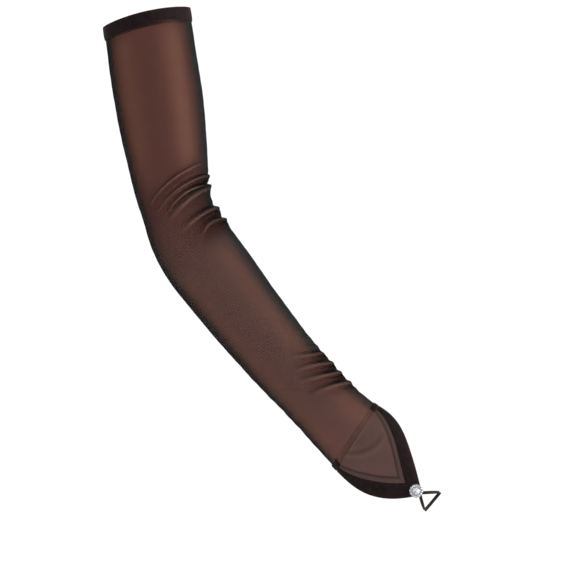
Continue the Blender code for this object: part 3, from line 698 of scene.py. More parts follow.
class ElasticSettings(bpy.types.PropertyGroup):
    width: length_setting("Width", "Width of the elastic band", 6.0 * MM)
    gathers: IntProperty(name="Gathers", description="Number of gathers in the band", default=58, min=4,
                         max=200)
    wrap: FloatProperty(name="Wrap", description="How far the band reaches round to the front, in degrees",
                        default=35.0, min=0.0, max=80.0)
    thread_spacing: length_setting("Thread spacing", "Distance of the covered threads", 1.0 * MM)
    cover: share_setting("Cover", "Share of the band that yarn covers where it isn't bunched", 0.17)
    # Painted glints: the lighter colour on the crowns of the gathers.
    colour: colour_setting("Elastic", "Colour of the gathers", "#4a3a35")


class BroochSettings(bpy.types.PropertyGroup):
    centre_stone: length_setting("Centre stone", "Diameter of the large stone", 6.0 * MM)
    ring_stone: length_setting("Ring stone", "Diameter of a small stone", 1.85 * MM)
    metal_colour: colour_setting("Plating", "Colour of the plating", "#d9dadd")
    # Painted reflections: the colours of the bright and the dark facets.
    bright_facet_reflection: colour_setting("Stone", "Colour of a bright facet", "#f4f6fa")
    dark_facet_reflection: colour_setting("Facet shade", "Colour of a dark facet", "#2a2d33")


class LoopSettings(bpy.types.PropertyGroup):
    width: length_setting("Width", "Width of the ribbon", 3.0 * MM)
    thickness: length_setting("Thickness", "Thickness of the ribbon", 0.7 * MM)
    finger_width: length_setting("Finger width", "Width of the finger that the loop goes round", 19.0 * MM)
    rib_spacing: length_setting("Rib spacing", "Distance of the ribs across the ribbon", 0.7 * MM)
    colour: colour_setting("Ribbon", "Colour of the ribbon", "#211714")


class StageSettings(bpy.types.PropertyGroup):
    camera_distance: length_setting("Camera distance", "Distance of the camera from the mitten", 5.0)
    view_width: length_setting("View width", "Width of the view at the mitten", 0.52925)
    room_light: strength_setting("Room light", "Strength of the white room", 1.06)
    key_power: strength_setting("Key power", "Power of the main light", 115.0, "POWER")
    fill_power: strength_setting("Fill power", "Power of the fill light", 10.0, "POWER")
    floor_colour: colour_setting("Floor", "Colour of the floor", "#ffffff")


# Pieces


def sleeve_runs():
    """The runs of the sleeve's sections, close together where it folds."""
    runs = [0.0]
    while runs[-1] < SLEEVE_LENGTH:
        at = runs[-1] / SLEEVE_LENGTH
        steps = [step for start, end, step in ZONES if start <= at < end]
        runs.append(runs[-1] + (steps[0] if steps else COARSE_STEP))
    return np.array(runs) * SLEEVE_LENGTH / runs[-1]


# Where the look of the net changes, as runs from the start of the change to its end.
PANEL_STARTS = (441.8 * MM, 445.2 * MM)
HIGHLIGHT_STRIPS_START = (0.0, 30 * MM)
HIGHLIGHT_STRIPS_END = (175 * MM, 115 * MM)
FOREARM_HIGHLIGHT_STRIPS_START = (215 * MM, 245 * MM)
SIDES_WIDEN = (210 * MM, 260 * MM)
LEFT_SIDE_NARROWS = (370 * MM, 310 * MM)
SIDES_END = (452 * MM, 432 * MM)
PALM_THINS = (385 * MM, 435 * MM)
FOREARM_STARTS = (165 * MM, 235 * MM)
# Painted highlight strips, of lighter yarn on slightly thinner net: turn from the inner side either way,
# breadth in degrees, and how plain they are. The last two are how plain they are against that on the palm
# side and down the forearm.
HIGHLIGHT_STRIPS = ((58.0, 17.0, 0.8), (130.0, 18.0, 0.6))
PALM_HIGHLIGHT_STRIPS = 0.3
FOREARM_HIGHLIGHT_STRIPS = 0.45
# Painted shade along both sides of the arm, as more and darker yarn: its breadth in degrees above the elbow
# and how much it widens below.
RIGHT_SIDE, RIGHT_WIDENS = 28.0, 10.0
LEFT_SIDE, LEFT_WIDENS = 29.0, 9.0
# Painted shade on slack net below the elbow's folds: run, length, turn, breadth in degrees, and how much it
# is crushed.
SLACK_RUN, SLACK_LENGTH = 213 * MM, 15 * MM
SLACK_TURN, SLACK_BREADTH = 55.0, 42.0
SLACK_SHADE = 0.7
# The seam allowance and its stitches, as distances inside the point hem's inner edge.
ALLOWANCE_INSET, ALLOWANCE_BREADTH = 3.0 * MM, 2.6 * MM
STITCHING_INSET, STITCHING_BREADTH = 7.5 * MM, 1.5 * MM


class MITTEN_OT_sleeve(bpy.types.Operator):
    """Make the long tube of sheer net with its folds, and the point over the back of the hand"""

    bl_idname = "mitten.sleeve"
    bl_label = "Net sleeve"
    COLUMNS = 112
    HAND_ROWS = 72

    def execute(self, context):
        cloth = context.scene.mitten_cloth
        turn = -90.0 + 360.0 * np.arange(self.COLUMNS)[:, None] / self.COLUMNS
        body = np.broadcast_to(sleeve_runs(), (self.COLUMNS, len(sleeve_runs())))
        share = (np.arange(self.HAND_ROWS) + 1.0) / self.HAND_ROWS
        hand = SLEEVE_LENGTH + (end_run(turn) - SLEEVE_LENGTH) * share
        run = np.concatenate((body, hand), axis=1)
        turn = np.broadcast_to(turn, run.shape)
        rise, crest_highlight, crease_shade, crush_shade = folds_at(run / SLEEVE_LENGTH, turn, cloth.fold_height)
        rise = rise + self.ripples(run, turn)
        # painted shade on slack net below the elbow's folds, added to that on the crushed net
        slack = SLACK_SHADE * bell(run - SLACK_RUN, SLACK_LENGTH)
        slack = slack * bell(signed_turn(turn) - SLACK_TURN, SLACK_BREADTH)
        marks = {"crest_highlight": crest_highlight, "crease_shade": crease_shade, "crush_shade": np.clip(crush_shade + slack, 0, 1)}
        marks.update(self.densities(run, turn))
        outside, inside = (surface(run, turn, offset, rise) for offset in (0.0, -cloth.wall))
        around = np.radians(turn + 90.0) * TOP_WIDTH / 2
        mesh = wall_mesh("net_sleeve", outside, inside, True, around, run, marks)
        add_piece("net_sleeve", mesh, sheer_net_material(cloth), ["sleeve"])
        return {"FINISHED"}

    @staticmethod
    def densities(run, turn):
        """Marks of the net: a single layer on the back of the hand, painted highlight strips along the arm,
        painted shade along the sides, thin net on the palm side above the wrist, the seam allowance, its
        stitches and the forearm."""
        sin, cos = np.sin(np.radians(turn)), np.cos(np.radians(turn))
        front = sin > 0
        off = np.abs(signed_turn(turn))
        highlight_strips = sum(plain * bell(off - place, breadth) for place, breadth, plain in HIGHLIGHT_STRIPS)
        upper = ramp(run, *HIGHLIGHT_STRIPS_START) * ramp(run, *HIGHLIGHT_STRIPS_END)
        along = np.maximum(upper, FOREARM_HIGHLIGHT_STRIPS * ramp(run, *FOREARM_HIGHLIGHT_STRIPS_START))
        widened = ramp(run, *SIDES_WIDEN)
        right = RIGHT_SIDE + RIGHT_WIDENS * widened
        left = LEFT_SIDE + LEFT_WIDENS * widened * ramp(run, *LEFT_SIDE_NARROWS)
        # painted shade along both sides of the arm
        sides = bell(off, right, 6) + bell(180.0 - off, left, 8)
        spread = np.clip(cos / HEM_INNER_SPREAD, -1.0, 1.0)
        inset = hem_inner_run(90.0 * spread) - run
        on_hand = front * (run > SLEEVE_LENGTH)
        return {
            "single": ramp(run, *PANEL_STARTS) * front,
            "highlight_strip": highlight_strips * np.where(front, 1.0, PALM_HIGHLIGHT_STRIPS) * along,
            "side": sides * ramp(run, *SIDES_END),
            "thin": ramp(run, *PALM_THINS) * ramp(sin, 0.0, -1 / 3),
            "allowance": bell(inset - ALLOWANCE_INSET, ALLOWANCE_BREADTH) * on_hand,
            "stitching": bell(inset - STITCHING_INSET, STITCHING_BREADTH) * on_hand,
            "lower": ramp(run, *FOREARM_STARTS),
        }

    @staticmethod
    def ripples(run, turn):
        """Slack in the cloth: long shallow waves, and quick ones that grow above the wrist. Each has its own
        pace round the arm and down it, in radians per metre, so that no pattern shows."""
        a = np.radians(turn)
        slow = np.sin(a * 2 + run * 31) * np.sin(run * 73 + np.cos(a) * 1.7)
        quick = np.sin(a * 5 + run * 160) * np.sin(run * 410 - np.sin(a) * 2.2)
        wrist = bell(run - 385 * MM, 45 * MM)
        return 0.25 * MM * slow + (0.10 + 0.22 * wrist) * MM * quick


# The top hem is narrowest at this turn, over this breadth in degrees. Its folded edge ripples, with a pace in
# radians per metre round the arm.
DRAWN_IN_TURN, DRAWN_IN_BREADTH = 72.0, 34.0
EDGE_RIPPLE, EDGE_RIPPLE_PACE = 0.08 * MM, 420
# How far the red-brown of a hem's folded edge reaches in.
TOP_EDGE_REACH = 2.2 * MM
POINT_EDGE_REACH = 1.8 * MM
# The point hem is lowest along its folded edge, and rises over this stretch to its second layer.
SECOND_LAYER_STEP = 0.22 * MM
SECOND_LAYER_INSET, SECOND_LAYER_SLOPE = 2.4 * MM, 0.6 * MM
LOWEST_LIFT = 0.2 * MM


class MITTEN_OT_top_hem(bpy.types.Operator):
    """Make the doubled band round the upper arm, with its stitch row"""

    bl_idname = "mitten.top_hem"
    bl_label = "Top hem"
    COLUMNS = 260
    ROWS = 26

    def execute(self, context):
        hem = context.scene.mitten_hem
        place, share = grid(self.COLUMNS, self.ROWS, True)
        turn = -90.0 + 360.0 * place
        width = TOP_HEM_WIDTH + hem.spread_out - hem.drawn_in * bell(turn - DRAWN_IN_TURN, DRAWN_IN_BREADTH)
        run = width * share
        around = np.radians(turn + 90.0) * TOP_WIDTH / 2
        height = SEAM_GAP + hem.lift * band_profile(share)
        height -= stitch_groove(around, hem.stitch_length, width - hem.stitch_inset - run)
        height += EDGE_RIPPLE * np.sin(around * EDGE_RIPPLE_PACE) * (1 - share)
        mesh = wall_mesh("top_hem_band", surface(run, turn, height), surface(run, turn, SEAM_GAP), True,
                         around, run, {"edge": np.clip(1 - run / TOP_EDGE_REACH, 0, 1) ** 1.5})
        add_piece("top_hem_band", mesh, doubled_net_material(hem), ["top_hem"])
        return {"FINISHED"}


class MITTEN_OT_point_hem(bpy.types.Operator):
    """Make the doubled band along both edges of the hand's point"""

    bl_idname = "mitten.point_hem"
    bl_label = "Point hem"
    STATIONS = 200
    ROWS = 24

    def execute(self, context):
        hem = context.scene.mitten_hem
        place, depth = grid(self.STATIONS, self.ROWS, False)
        run, turn = hem_place(-90.0 + 180.0 * place, depth)
        base = surface(run, turn, 0.0)
        width = np.linalg.norm(base[:, -1] - base[:, 0], axis=-1)[:, None]
        inwards = depth * width
        steps = np.linalg.norm(np.diff(base[:, self.ROWS // 2], axis=0), axis=-1)
        along = np.concatenate(((0.0,), np.cumsum(steps)))[:, None] + np.zeros(self.ROWS)
        height = SEAM_GAP + hem.lift * band_profile(depth)
        height -= stitch_groove(along, hem.stitch_length, width - inwards - hem.stitch_inset)
        second = np.clip((inwards - SECOND_LAYER_INSET) / SECOND_LAYER_SLOPE, -1, 0)
        height += SECOND_LAYER_STEP * second * (depth > 0.02)
        height = np.maximum(height, SEAM_GAP + LOWEST_LIFT)
        mesh = wall_mesh("point_hem_band", surface(run, turn, height), surface(run, turn, SEAM_GAP), False,
                         inwards, along, {"edge": np.clip(1 - inwards / POINT_EDGE_REACH, 0, 1)})
        add_piece("point_hem_band", mesh, doubled_net_material(hem), ["point_hem"])
        return {"FINISHED"}


# The elastic's height, and how much of it each gather and the covered threads in it add.
ELASTIC_HEIGHT = 0.6 * MM
GATHER_HEIGHT = 0.45 * MM
THREADS = 3
# The turns under the sides of the wrist between which it starts to bunch, as sines.
BUNCHING = (-0.45, -0.15)
WRIST_RADIUS = 30 * MM


class MITTEN_OT_wrist_elastic(bpy.types.Operator):
    """Make the gathered elastic along the palm edge, which wraps round both sides of the wrist"""

    bl_idname = "mitten.wrist_elastic"
    bl_label = "Wrist elastic"
    STEPS_PER_GATHER = 8
    ROWS = 14

    def execute(self, context):
        elastic = context.scene.mitten_elastic
        place, share = grid(elastic.gathers * self.STEPS_PER_GATHER + 1, self.ROWS, False)
        turn = -180.0 - elastic.wrap + (180.0 + 2 * elastic.wrap) * place
        lower_edge = SLEEVE_LENGTH + PALM_LENGTH - SEAM_GAP
        run = lower_edge - elastic.width * (1 - share)
        # the gathers wander a little as they cross the band
        gather = place * elastic.gathers + 0.25 * np.sin(share * 7 + place * 40)
        crown = (1 - np.cos(2 * math.pi * gather)) / 2
        threads = np.abs(np.sin(share * math.pi * THREADS)) ** 0.7
        height = ELASTIC_HEIGHT + GATHER_HEIGHT * crown * (0.5 + 0.5 * threads)
        height = SEAM_GAP + band_profile(share) * height
        marks = {"crown": crown * threads, "bunched": ramp(np.sin(np.radians(turn)), *BUNCHING)}
        outside, inside = surface(run, turn, height), surface(run, turn, SEAM_GAP)
        around = np.radians(turn) * WRIST_RADIUS
        mesh = wall_mesh("wrist_elastic_band", outside, inside, False, around, run, marks)
        add_piece("wrist_elastic_band", mesh, elastic_material(elastic),
                  ["wrist_elastic"])
        return {"FINISHED"}


# Brooch, as in the part's source, with its claws.
STONE_GAP = 0.25 * MM
METAL_WALL = 0.4 * MM
BROOCH_BASE = 0.8 * MM
BROOCH_INSET = 6.5 * MM
TABLE_RADIUS = 0.56
CROWN_HEIGHT = 0.42
GIRDLE_HEIGHT = 0.06
PAVILION_DEPTH = 0.50
RING_STONES = 12
CENTRE_CLAWS = 6
CLAW_FOOT = BROOCH_BASE * 0.6
OUTER_CLAW = 0.62 * MM
INNER_CLAW = 0.42 * MM
CENTRE_CLAW = 0.70 * MM
# Size of the middle of a cut stone's crown and pavilion, and of its tip, against its girdle.
CROWN_WAIST = 0.80
PAVILION_WAIST = 0.62
PAVILION_TIP = 0.12
# How far out, how far up and how much wider each part of a claw's bead is, against its lean and diameter.
BEAD = ((0.5, 0.30, 1.12), (1.0, 0.25, 0.90), (0.6, 0.15, 0.55))


def stone_height(diameter):
    """How far a stone's girdle stands above the back of the brooch."""
    return BROOCH_BASE + diameter / 2 * PAVILION_DEPTH + STONE_GAP


def brooch_radii(brooch):
    """Radii of the centre stone's cup, of the circle of small stones and of the rim."""
    cup = brooch.centre_stone / 2 + STONE_GAP
    circle = cup + METAL_WALL + STONE_GAP + brooch.ring_stone / 2
    return cup, circle, circle + brooch.ring_stone / 2 + STONE_GAP


def brooch_place():
    run = SLEEVE_LENGTH + PALM_LENGTH + POINT_LENGTH - BROOCH_INSET
    return seat(run, 90.0, SEAM_GAP * 2 + HEM_THICKNESS)


def start_cylinder(radius, low, high, sides):
    """A cylinder between two heights, open in edit mode, with everything else deselected."""
    bpy.ops.object.select_all(action="DESELECT")
    bpy.ops.mesh.primitive_cylinder_add(vertices=sides, radius=radius, depth=high - low,
                                        location=(0.0, 0.0, (low + high) / 2))
    bpy.ops.object.transform_apply(location=True, rotation=True, scale=True)
    bpy.ops.object.mode_set(mode="EDIT")
    bpy.ops.mesh.select_all(action="DESELECT")
    return bpy.context.active_object


def select_faces(obj, wanted):
    """Selects the faces whose middle and normal answer to wanted, in face mode."""
    bpy.ops.mesh.select_mode(type="FACE")
    bpy.ops.mesh.select_all(action="DESELECT")
    bpy.ops.object.mode_set(mode="OBJECT")
    for face in obj.data.polygons:
        face.select = wanted(face.center, face.normal)
    bpy.ops.object.mode_set(mode="EDIT")


def end_editing():
    bpy.ops.object.mode_set(mode="OBJECT")
    return bpy.context.active_object


def copies(source, matrices):
    """Copies of a piece, each with a mesh of its own, moved by the matrices. The source is removed."""
    made = []
    for matrix in matrices:
        mesh = source.data.copy()
        mesh.transform(matrix)
        copy = bpy.data.objects.new(source.name, mesh)
        bpy.context.scene.collection.objects.link(copy)
        made.append(copy)
    bpy.data.objects.remove(source)
    return made


def join(name, parts):
    bpy.ops.object.select_all(action="DESELECT")
    for part in parts:
        part.select_set(True)
    bpy.context.view_layer.objects.active = parts[0]
    bpy.ops.object.join()
    joined = bpy.context.active_object
    joined.name = joined.data.name = name
    return joined


def ring_matrices(count, radius, height, start=0.0):
    """Places on a circle, each turned to face away from its middle."""
    turns = [2 * math.pi * (i + start) / count for i in range(count)]
    return [Matrix.Rotation(t, 4, "Z") @ Matrix.Translation((radius, 0.0, height)) for t in turns]


def bevelled(obj, width, segments, angle=35.0):
    """A bevel on the edges sharper than the angle, applied, and smooth shading up to it."""
    bpy.context.view_layer.objects.active = obj
    modifier = obj.modifiers.new("edges", "BEVEL")
    modifier.width, modifier.segments, modifier.angle_limit = width, segments, math.radians(angle)
    bpy.ops.object.modifier_apply(modifier=modifier.name)
    obj.data.shade_smooth()
    obj.data.set_sharp_from_angle(angle=math.radians(angle))
    return obj


def model_cup(radius, wall, low, high, sides):
    """A collet: a short tube with a floor, its lip rounded."""
    cup = start_cylinder(radius + wall, low, high, sides)
    select_faces(cup, lambda middle, normal: normal.z > 0.9)
    bpy.ops.mesh.inset(thickness=wall)
    bpy.ops.mesh.extrude_region_move(TRANSFORM_OT_translate={"value": (0.0, 0.0, -(high - low) * 0.75)})
    bpy.ops.transform.resize(value=(0.6, 0.6, 1.0), center_override=(0.0, 0.0, low))
    end_editing()
    return bevelled(cup, wall * 0.3, 2)


def model_claw(diameter, low, high, lean):
    """A prong that leans in over the stone and ends in a rounded bead."""
    claw = start_cylinder(diameter / 2, low, high, 10)
    select_faces(claw, lambda middle, normal: normal.z > 0.9)
    for out, up, size in BEAD:
        move = {"value": (-lean * out, 0.0, diameter * up)}
        bpy.ops.mesh.extrude_region_move(TRANSFORM_OT_translate=move)
        bpy.ops.transform.resize(value=(size, size, 1.0))
    end_editing()
    claw.data.shade_smooth()
    return claw


class MITTEN_OT_brooch_setting(bpy.types.Operator):
    """Make the plated metal of the brooch: base, centre cup, twelve small cups and the claws"""

    bl_idname = "mitten.brooch_setting"
    bl_label = "Brooch setting"

    def execute(self, context):
        brooch = context.scene.mitten_brooch
        cup, circle, rim = brooch_radii(brooch)
        cup_top = stone_height(brooch.centre_stone) - STONE_GAP / 2
        ring_top = stone_height(brooch.ring_stone)
        base = start_cylinder(circle + 0.1 * MM, 0.0, BROOCH_BASE, 72)
        select_faces(base, lambda middle, normal: normal.z < -0.9)
        bpy.ops.transform.resize(value=(0.9, 0.9, 1.0))
        end_editing()
        parts = [bevelled(base, 0.18 * MM, 3)]
        parts.append(model_cup(cup, METAL_WALL, CLAW_FOOT, cup_top, 48))
        small = model_cup(rim - circle, METAL_WALL, 0.0, ring_top, 20)
        parts += copies(small, ring_matrices(RING_STONES, circle, 0.0))
        inner = circle - brooch.ring_stone * 0.42
        # diameter, foot, top, lean, number, distance from the middle, and start in shares of a step
        for diameter, foot, top, lean, number, distance, start in (
            (OUTER_CLAW, CLAW_FOOT, ring_top, 0.10 * MM, RING_STONES, circle + 0.45 * MM, 0.5),
            (INNER_CLAW, CLAW_FOOT, ring_top, -0.05 * MM, RING_STONES, inner, 0.5),
            (CENTRE_CLAW, BROOCH_BASE, cup_top, 0.22 * MM, CENTRE_CLAWS, cup + METAL_WALL * 0.6, 0.25),
        ):
            claw = model_claw(diameter, foot, top, lean)
            parts += copies(claw, ring_matrices(number, distance, 0.0, start))
        setting = join("brooch_metal", parts)
        setting.data.transform(brooch_place())
        setting.data.materials.clear()
        setting.data.materials.append(plated_metal_material(brooch))
        settle(setting, ["brooch_setting"])
        return {"FINISHED"}


def model_stone(diameter, sides):
    """A round brilliant cut: table, crown and pavilion, with the facets turned half a step at each level."""
    radius, half_step = diameter / 2, math.pi / sides
    girdle = radius * GIRDLE_HEIGHT
    stone = start_cylinder(radius, -girdle, girdle, sides)
    crown, pavilion = radius * CROWN_HEIGHT - girdle, radius * PAVILION_DEPTH - girdle
    # way from the girdle, height of the level, and its size against the one before it
    for way, height, size in ((1, 0.55 * crown, CROWN_WAIST), (1, 0.45 * crown, TABLE_RADIUS / CROWN_WAIST),
                              (-1, 0.55 * pavilion, PAVILION_WAIST), (-1, 0.45 * pavilion, PAVILION_TIP)):
        select_faces(stone, lambda middle, normal: normal.z * way > 0.98 and middle.z * way > 0)
        bpy.ops.mesh.extrude_region_move(TRANSFORM_OT_translate={"value": (0.0, 0.0, way * height)})
        bpy.ops.transform.resize(value=(size, size, 1.0), center_override=(0.0, 0.0, 0.0))
        bpy.ops.transform.rotate(value=half_step, orient_axis="Z", center_override=(0.0, 0.0, 0.0))
    bpy.ops.mesh.select_all(action="SELECT")
    bpy.ops.mesh.quads_convert_to_tris(quad_method="FIXED")
    bpy.ops.mesh.normals_make_consistent(inside=False)
    end_editing()
    return stone


# A direction along which no two facets of a stone lie level.
FACET_SWEEP = (1.0, 0.377, 0.713)


def paint_facet_reflections(mesh, seed):
    """Gives each facet a painted reflection, a brightness of its own, and the table, which has many sides, a
    high one. An extrusion numbers its faces in another order each time, so they are taken in the order in
    which they lie."""
    dice = np.random.default_rng(seed)
    layer = mesh.attributes.new("facet", "FLOAT", "FACE")
    middles = [np.mean([mesh.vertices[i].co for i in face.vertices], axis=0) for face in mesh.polygons]
    order = np.argsort(np.array(middles) @ FACET_SWEEP)
    values = np.empty(len(order))
    values[order] = dice.random(len(order))
    values[[i for i, face in enumerate(mesh.polygons) if len(face.vertices) > 4]] = 0.85
    layer.data.foreach_set("value", values.astype(np.float32))


class MITTEN_OT_stones(bpy.types.Operator):
    """Make the large cut stone and the twelve small ones round it"""

    bl_idname = "mitten.stones"
    bl_label = "Cut stones"

    def execute(self, context):
        brooch = context.scene.mitten_brooch
        _, circle, _ = brooch_radii(brooch)
        material = rhinestone_material(brooch)
        place = brooch_place()
        large = model_stone(brooch.centre_stone, 16)
        made = copies(large, [Matrix.Translation((0.0, 0.0, stone_height(brooch.centre_stone)))])
        small = model_stone(brooch.ring_stone, 10)
        made += copies(small, ring_matrices(RING_STONES, circle, stone_height(brooch.ring_stone)))
        for i, stone in enumerate(made):
            node = f"ring_stone_{i:02d}" if i else "centre_stone"
            stone.name = stone.data.name = f"cut_{node}"
            stone.data.transform(place)
            paint_facet_reflections(stone.data, i)
            stone.data.materials.clear()
            stone.data.materials.append(material)
            settle(stone, [node])
        return {"FINISHED"}


# Finger loop, as in the part's source. A stop lies along, across and out, as shares of the reach, of half the
# finger's width and of the finger's width.
LOOP_REACH = 10.8 * MM
LOOP_OFFSET = 1.3 * MM
LOOP_INSET = 0.5 * MM
CAD_LOOP_THICKNESS = 0.8 * MM
FINGER_HEADING = 50.0
# The ribbon's section: how square it is across and through, and the round cord along each edge, as shares of
# half the width and of half the thickness.
RIBBON_SQUARENESS = 0.55
RIBBON_FLATNESS = 0.45
RIBBON_MIDDLE = 0.72
CORD_PLACE, CORD_BREADTH = 0.86, 0.16
STOPS = (
    (-0.12, 0.00, 0.00),
    (-0.04, 0.13, 0.00),
    (0.12, 0.30, 0.00),
    (0.58, 0.70, 0.05),
    (0.95, 1.00, 0.20),
    (1.10, 1.08, 0.45),
    (1.14, 0.80, 0.80),
    (1.16, 0.00, 0.98),
)


def closed_curve(points, count, fine=40):
    """Evenly spaced points on a smooth closed curve through the given ones, and the curve's length."""
    a, b, c, d = (np.roll(points, shift, axis=0)[:, None, :] for shift in (1, 0, -1, -2))
    t = (np.arange(fine) / fine)[None, :, None]
    dense = b + t * (c - a) / 2 + t * t * (a - 2.5 * b + 2 * c - d / 2) + t**3 * (d - a + 3 * (b - c)) / 2
    dense = dense.reshape(-1, 3)
    closed = np.vstack((dense, dense[:1]))
    lengths = np.concatenate(((0.0,), np.cumsum(np.linalg.norm(np.diff(closed, axis=0), axis=1))))
    goals = lengths[-1] * np.arange(count) / count
    return np.stack([np.interp(goals, lengths, closed[:, k]) for k in range(3)], axis=1), lengths[-1]


class MITTEN_OT_finger_loop(bpy.types.Operator):
    """Make the narrow ribbon that goes once round the middle finger"""

    bl_idname = "mitten.finger_loop"
    bl_label = "Finger loop"
    STATIONS = 220
    AROUND = 20

    def execute(self, context):
        loop = context.scene.mitten_loop
        half = (loop.finger_width + CAD_LOOP_THICKNESS) / 2
        stops = [(a * LOOP_REACH, c * half, -o * loop.finger_width) for a, c, o in STOPS]
        stops += [(a, -c, o) for a, c, o in stops[-2:0:-1]]
        stops = np.array([(a, c + LOOP_OFFSET * min(max(a / LOOP_REACH, 0.0), 1.0), o) for a, c, o in stops])
        curve, length = closed_curve(stops, self.STATIONS)
        start = surface(SLEEVE_LENGTH + PALM_LENGTH + POINT_LENGTH - LOOP_INSET, 90.0,
                        -CLOTH_THICKNESS - SEAM_GAP - CAD_LOOP_THICKNESS / 2)
        ahead = direction(FINGER_HEADING, 0.0)
        side = np.array((-ahead[2], 0.0, ahead[0]))
        path = start + curve @ np.array((ahead, side, np.cross(ahead, side)))
        along = np.roll(path, -1, axis=0) - np.roll(path, 1, axis=0)
        along /= np.linalg.norm(along, axis=1, keepdims=True)
        wide = ahead - along * (along @ ahead)[:, None]
        wide /= np.linalg.norm(wide, axis=1, keepdims=True)
        thick = np.cross(along, wide)
        angle = 2 * math.pi * np.arange(self.AROUND) / self.AROUND
        across = np.sign(np.cos(angle)) * np.abs(np.cos(angle)) ** RIBBON_SQUARENESS
        cord = RIBBON_MIDDLE + (1 - RIBBON_MIDDLE) * bell(np.abs(across) - CORD_PLACE, CORD_BREADTH)
        through = np.sign(np.sin(angle)) * np.abs(np.sin(angle)) ** RIBBON_FLATNESS * cord
        across, through = across * loop.width / 2, through * loop.thickness / 2
        points = path[:, None] + wide[:, None] * across[:, None] + thick[:, None] * through[:, None]
        self.add_ribbon(points, across, length, ribbon_material(loop))
        return {"FINISHED"}

    def add_ribbon(self, points, across, length, material):
        stations, around = points.shape[:2]
        index = np.arange(stations * around).reshape(stations, around)
        nexts, sides = np.roll(index, -1, axis=0), np.roll(index, -1, axis=1)
        both = np.roll(nexts, -1, axis=1)
        faces = np.stack((index, nexts, both, sides), axis=-1).reshape(-1, 4)
        mesh = bpy.data.meshes.new("finger_loop_ribbon")
        mesh.from_pydata(points.reshape(-1, 3), [], faces)
        if signed_volume(points.reshape(-1, 3), faces) < 0:
            mesh.flip_normals()
        mesh.shade_smooth()
        along = length * np.arange(stations) / stations
        uv = np.stack(np.broadcast_arrays(across[None, :], along[:, None]), axis=-1).reshape(-1, 2)
        corners = np.empty(len(mesh.loops), np.int32)
        mesh.loops.foreach_get("vertex_index", corners)
        layer = mesh.uv_layers.new(name="cloth")
        layer.data.foreach_set("uv", uv[corners].reshape(-1).astype(np.float32))
        add_piece("finger_loop_ribbon", mesh, material, ["finger_loop"])


class MITTEN_OT_stage(bpy.types.Operator):
    """Make the plain floor, the soft studio light and the camera"""

    bl_idname = "mitten.stage"
    bl_label = "Stage"
    AIM = Vector((0.1309, 0.0, -0.2487))
    FLOOR_DROP = 0.45
    FLOOR_SIZE = 40.0
    KEY_SIZE, KEY_PLACE = 1.4, (3.1, -0.6, 0.3)
    FILL_SIZE, FILL_PLACE = 2.4, (-2.4, -2.4, 0.9)
    SENSOR_WIDTH = 36.0
    # eight faces of net lie behind one another at the wrist, and the folds add more
    TRANSPARENT_BOUNCES = 24

    def execute(self, context):
        stage = context.scene.mitten_stage
        scene = context.scene
        bpy.ops.object.select_all(action="DESELECT")
        level = self.AIM.z - self.FLOOR_DROP
        bpy.ops.mesh.primitive_plane_add(size=self.FLOOR_SIZE, location=(0.0, 0.0, level))
        bpy.ops.object.mode_set(mode="EDIT")
        bpy.ops.mesh.subdivide(number_cuts=3)
        floor = end_editing()
        bpy.ops.object.transform_apply(location=True, rotation=True, scale=True)
        floor.name = floor.data.name = "floor"
        floor.data.materials.append(paper_material(stage))

        world = bpy.data.worlds.new("white_room")
        world.use_nodes = True
        room = world.node_tree.nodes["Background"]
        room.inputs["Color"].default_value = (1.0, 1.0, 1.0, 1.0)
        room.inputs["Strength"].default_value = stage.room_light
        scene.world = world
        self.add_light("key", stage.key_power, self.KEY_SIZE, self.KEY_PLACE)
        self.add_light("fill", stage.fill_power, self.FILL_SIZE, self.FILL_PLACE)

        camera = bpy.data.cameras.new("camera")
        camera.sensor_width = self.SENSOR_WIDTH
        camera.lens = camera.sensor_width * stage.camera_distance / stage.view_width
        camera.clip_end = 100.0
        holder = bpy.data.objects.new("camera", camera)
        holder.location = self.AIM - Vector((0.0, stage.camera_distance, 0.0))
        holder.rotation_euler = (math.pi / 2, 0.0, 0.0)
        scene.collection.objects.link(holder)
        scene.camera = holder
        scene.cycles.transparent_max_bounces = self.TRANSPARENT_BOUNCES
        scene.view_settings.view_transform = "Standard"
        return {"FINISHED"}

    def add_light(self, name, power, size, place):
        light = bpy.data.lights.new(name, "AREA")
        light.energy, light.size = power, size
        holder = bpy.data.objects.new(name, light)
        holder.location = place
        holder.rotation_euler = (self.AIM - Vector(place)).to_track_quat("-Z", "Y").to_euler()
        bpy.context.scene.collection.objects.link(holder)


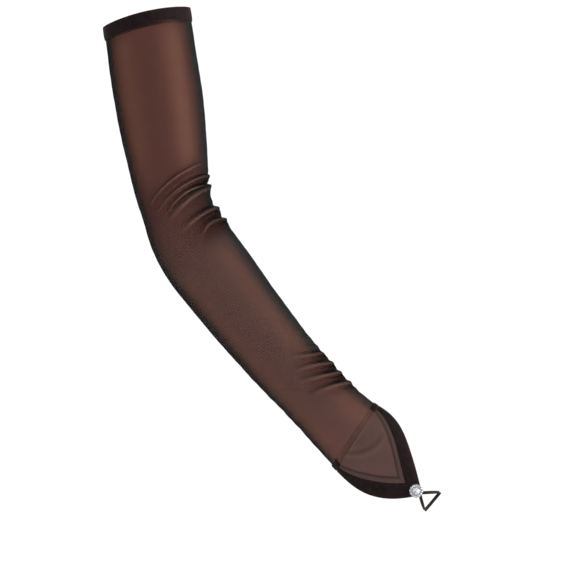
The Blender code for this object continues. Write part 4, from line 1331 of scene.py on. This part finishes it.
class MITTEN_PT_panel(bpy.types.Panel):
    """The mitten's pieces"""

    bl_idname = "MITTEN_PT_panel"
    bl_label = "Evening mitten"
    bl_space_type = "VIEW_3D"
    bl_region_type = "UI"
    bl_category = "Mitten"

    def draw(self, context):
        for title, settings, operators in GROUPS:
            box = self.layout.box()
            box.label(text=title)
            group = getattr(context.scene, settings)
            for name in group.__annotations__:
                box.prop(group, name)
            for operator in operators:
                box.operator(operator)


GROUPS = (
    ("Sleeve", "mitten_cloth", ("mitten.sleeve",)),
    ("Hems", "mitten_hem", ("mitten.top_hem", "mitten.point_hem")),
    ("Wrist", "mitten_elastic", ("mitten.wrist_elastic",)),
    ("Brooch", "mitten_brooch", ("mitten.brooch_setting", "mitten.stones")),
    ("Finger loop", "mitten_loop", ("mitten.finger_loop",)),
    ("Stage", "mitten_stage", ("mitten.stage",)),
)
SETTINGS = {
    "mitten_cloth": ClothSettings,
    "mitten_hem": HemSettings,
    "mitten_elastic": ElasticSettings,
    "mitten_brooch": BroochSettings,
    "mitten_loop": LoopSettings,
    "mitten_stage": StageSettings,
}
CLASSES = (
    *SETTINGS.values(),
    MITTEN_OT_sleeve,
    MITTEN_OT_top_hem,
    MITTEN_OT_point_hem,
    MITTEN_OT_wrist_elastic,
    MITTEN_OT_brooch_setting,
    MITTEN_OT_stones,
    MITTEN_OT_finger_loop,
    MITTEN_OT_stage,
    MITTEN_PT_panel,
)


def register():
    for cls in CLASSES:
        bpy.utils.register_class(cls)
    for name, settings in SETTINGS.items():
        setattr(bpy.types.Scene, name, PointerProperty(type=settings))


def unregister():
    for name in SETTINGS:
        delattr(bpy.types.Scene, name)
    for cls in reversed(CLASSES):
        bpy.utils.unregister_class(cls)


def main():
    register()
    bpy.ops.mitten.stage()
    bpy.ops.mitten.sleeve()
    bpy.ops.mitten.top_hem()
    bpy.ops.mitten.point_hem()
    bpy.ops.mitten.wrist_elastic()
    bpy.ops.mitten.brooch_setting()
    bpy.ops.mitten.stones()
    bpy.ops.mitten.finger_loop()


if __name__ == "__main__":
    main()
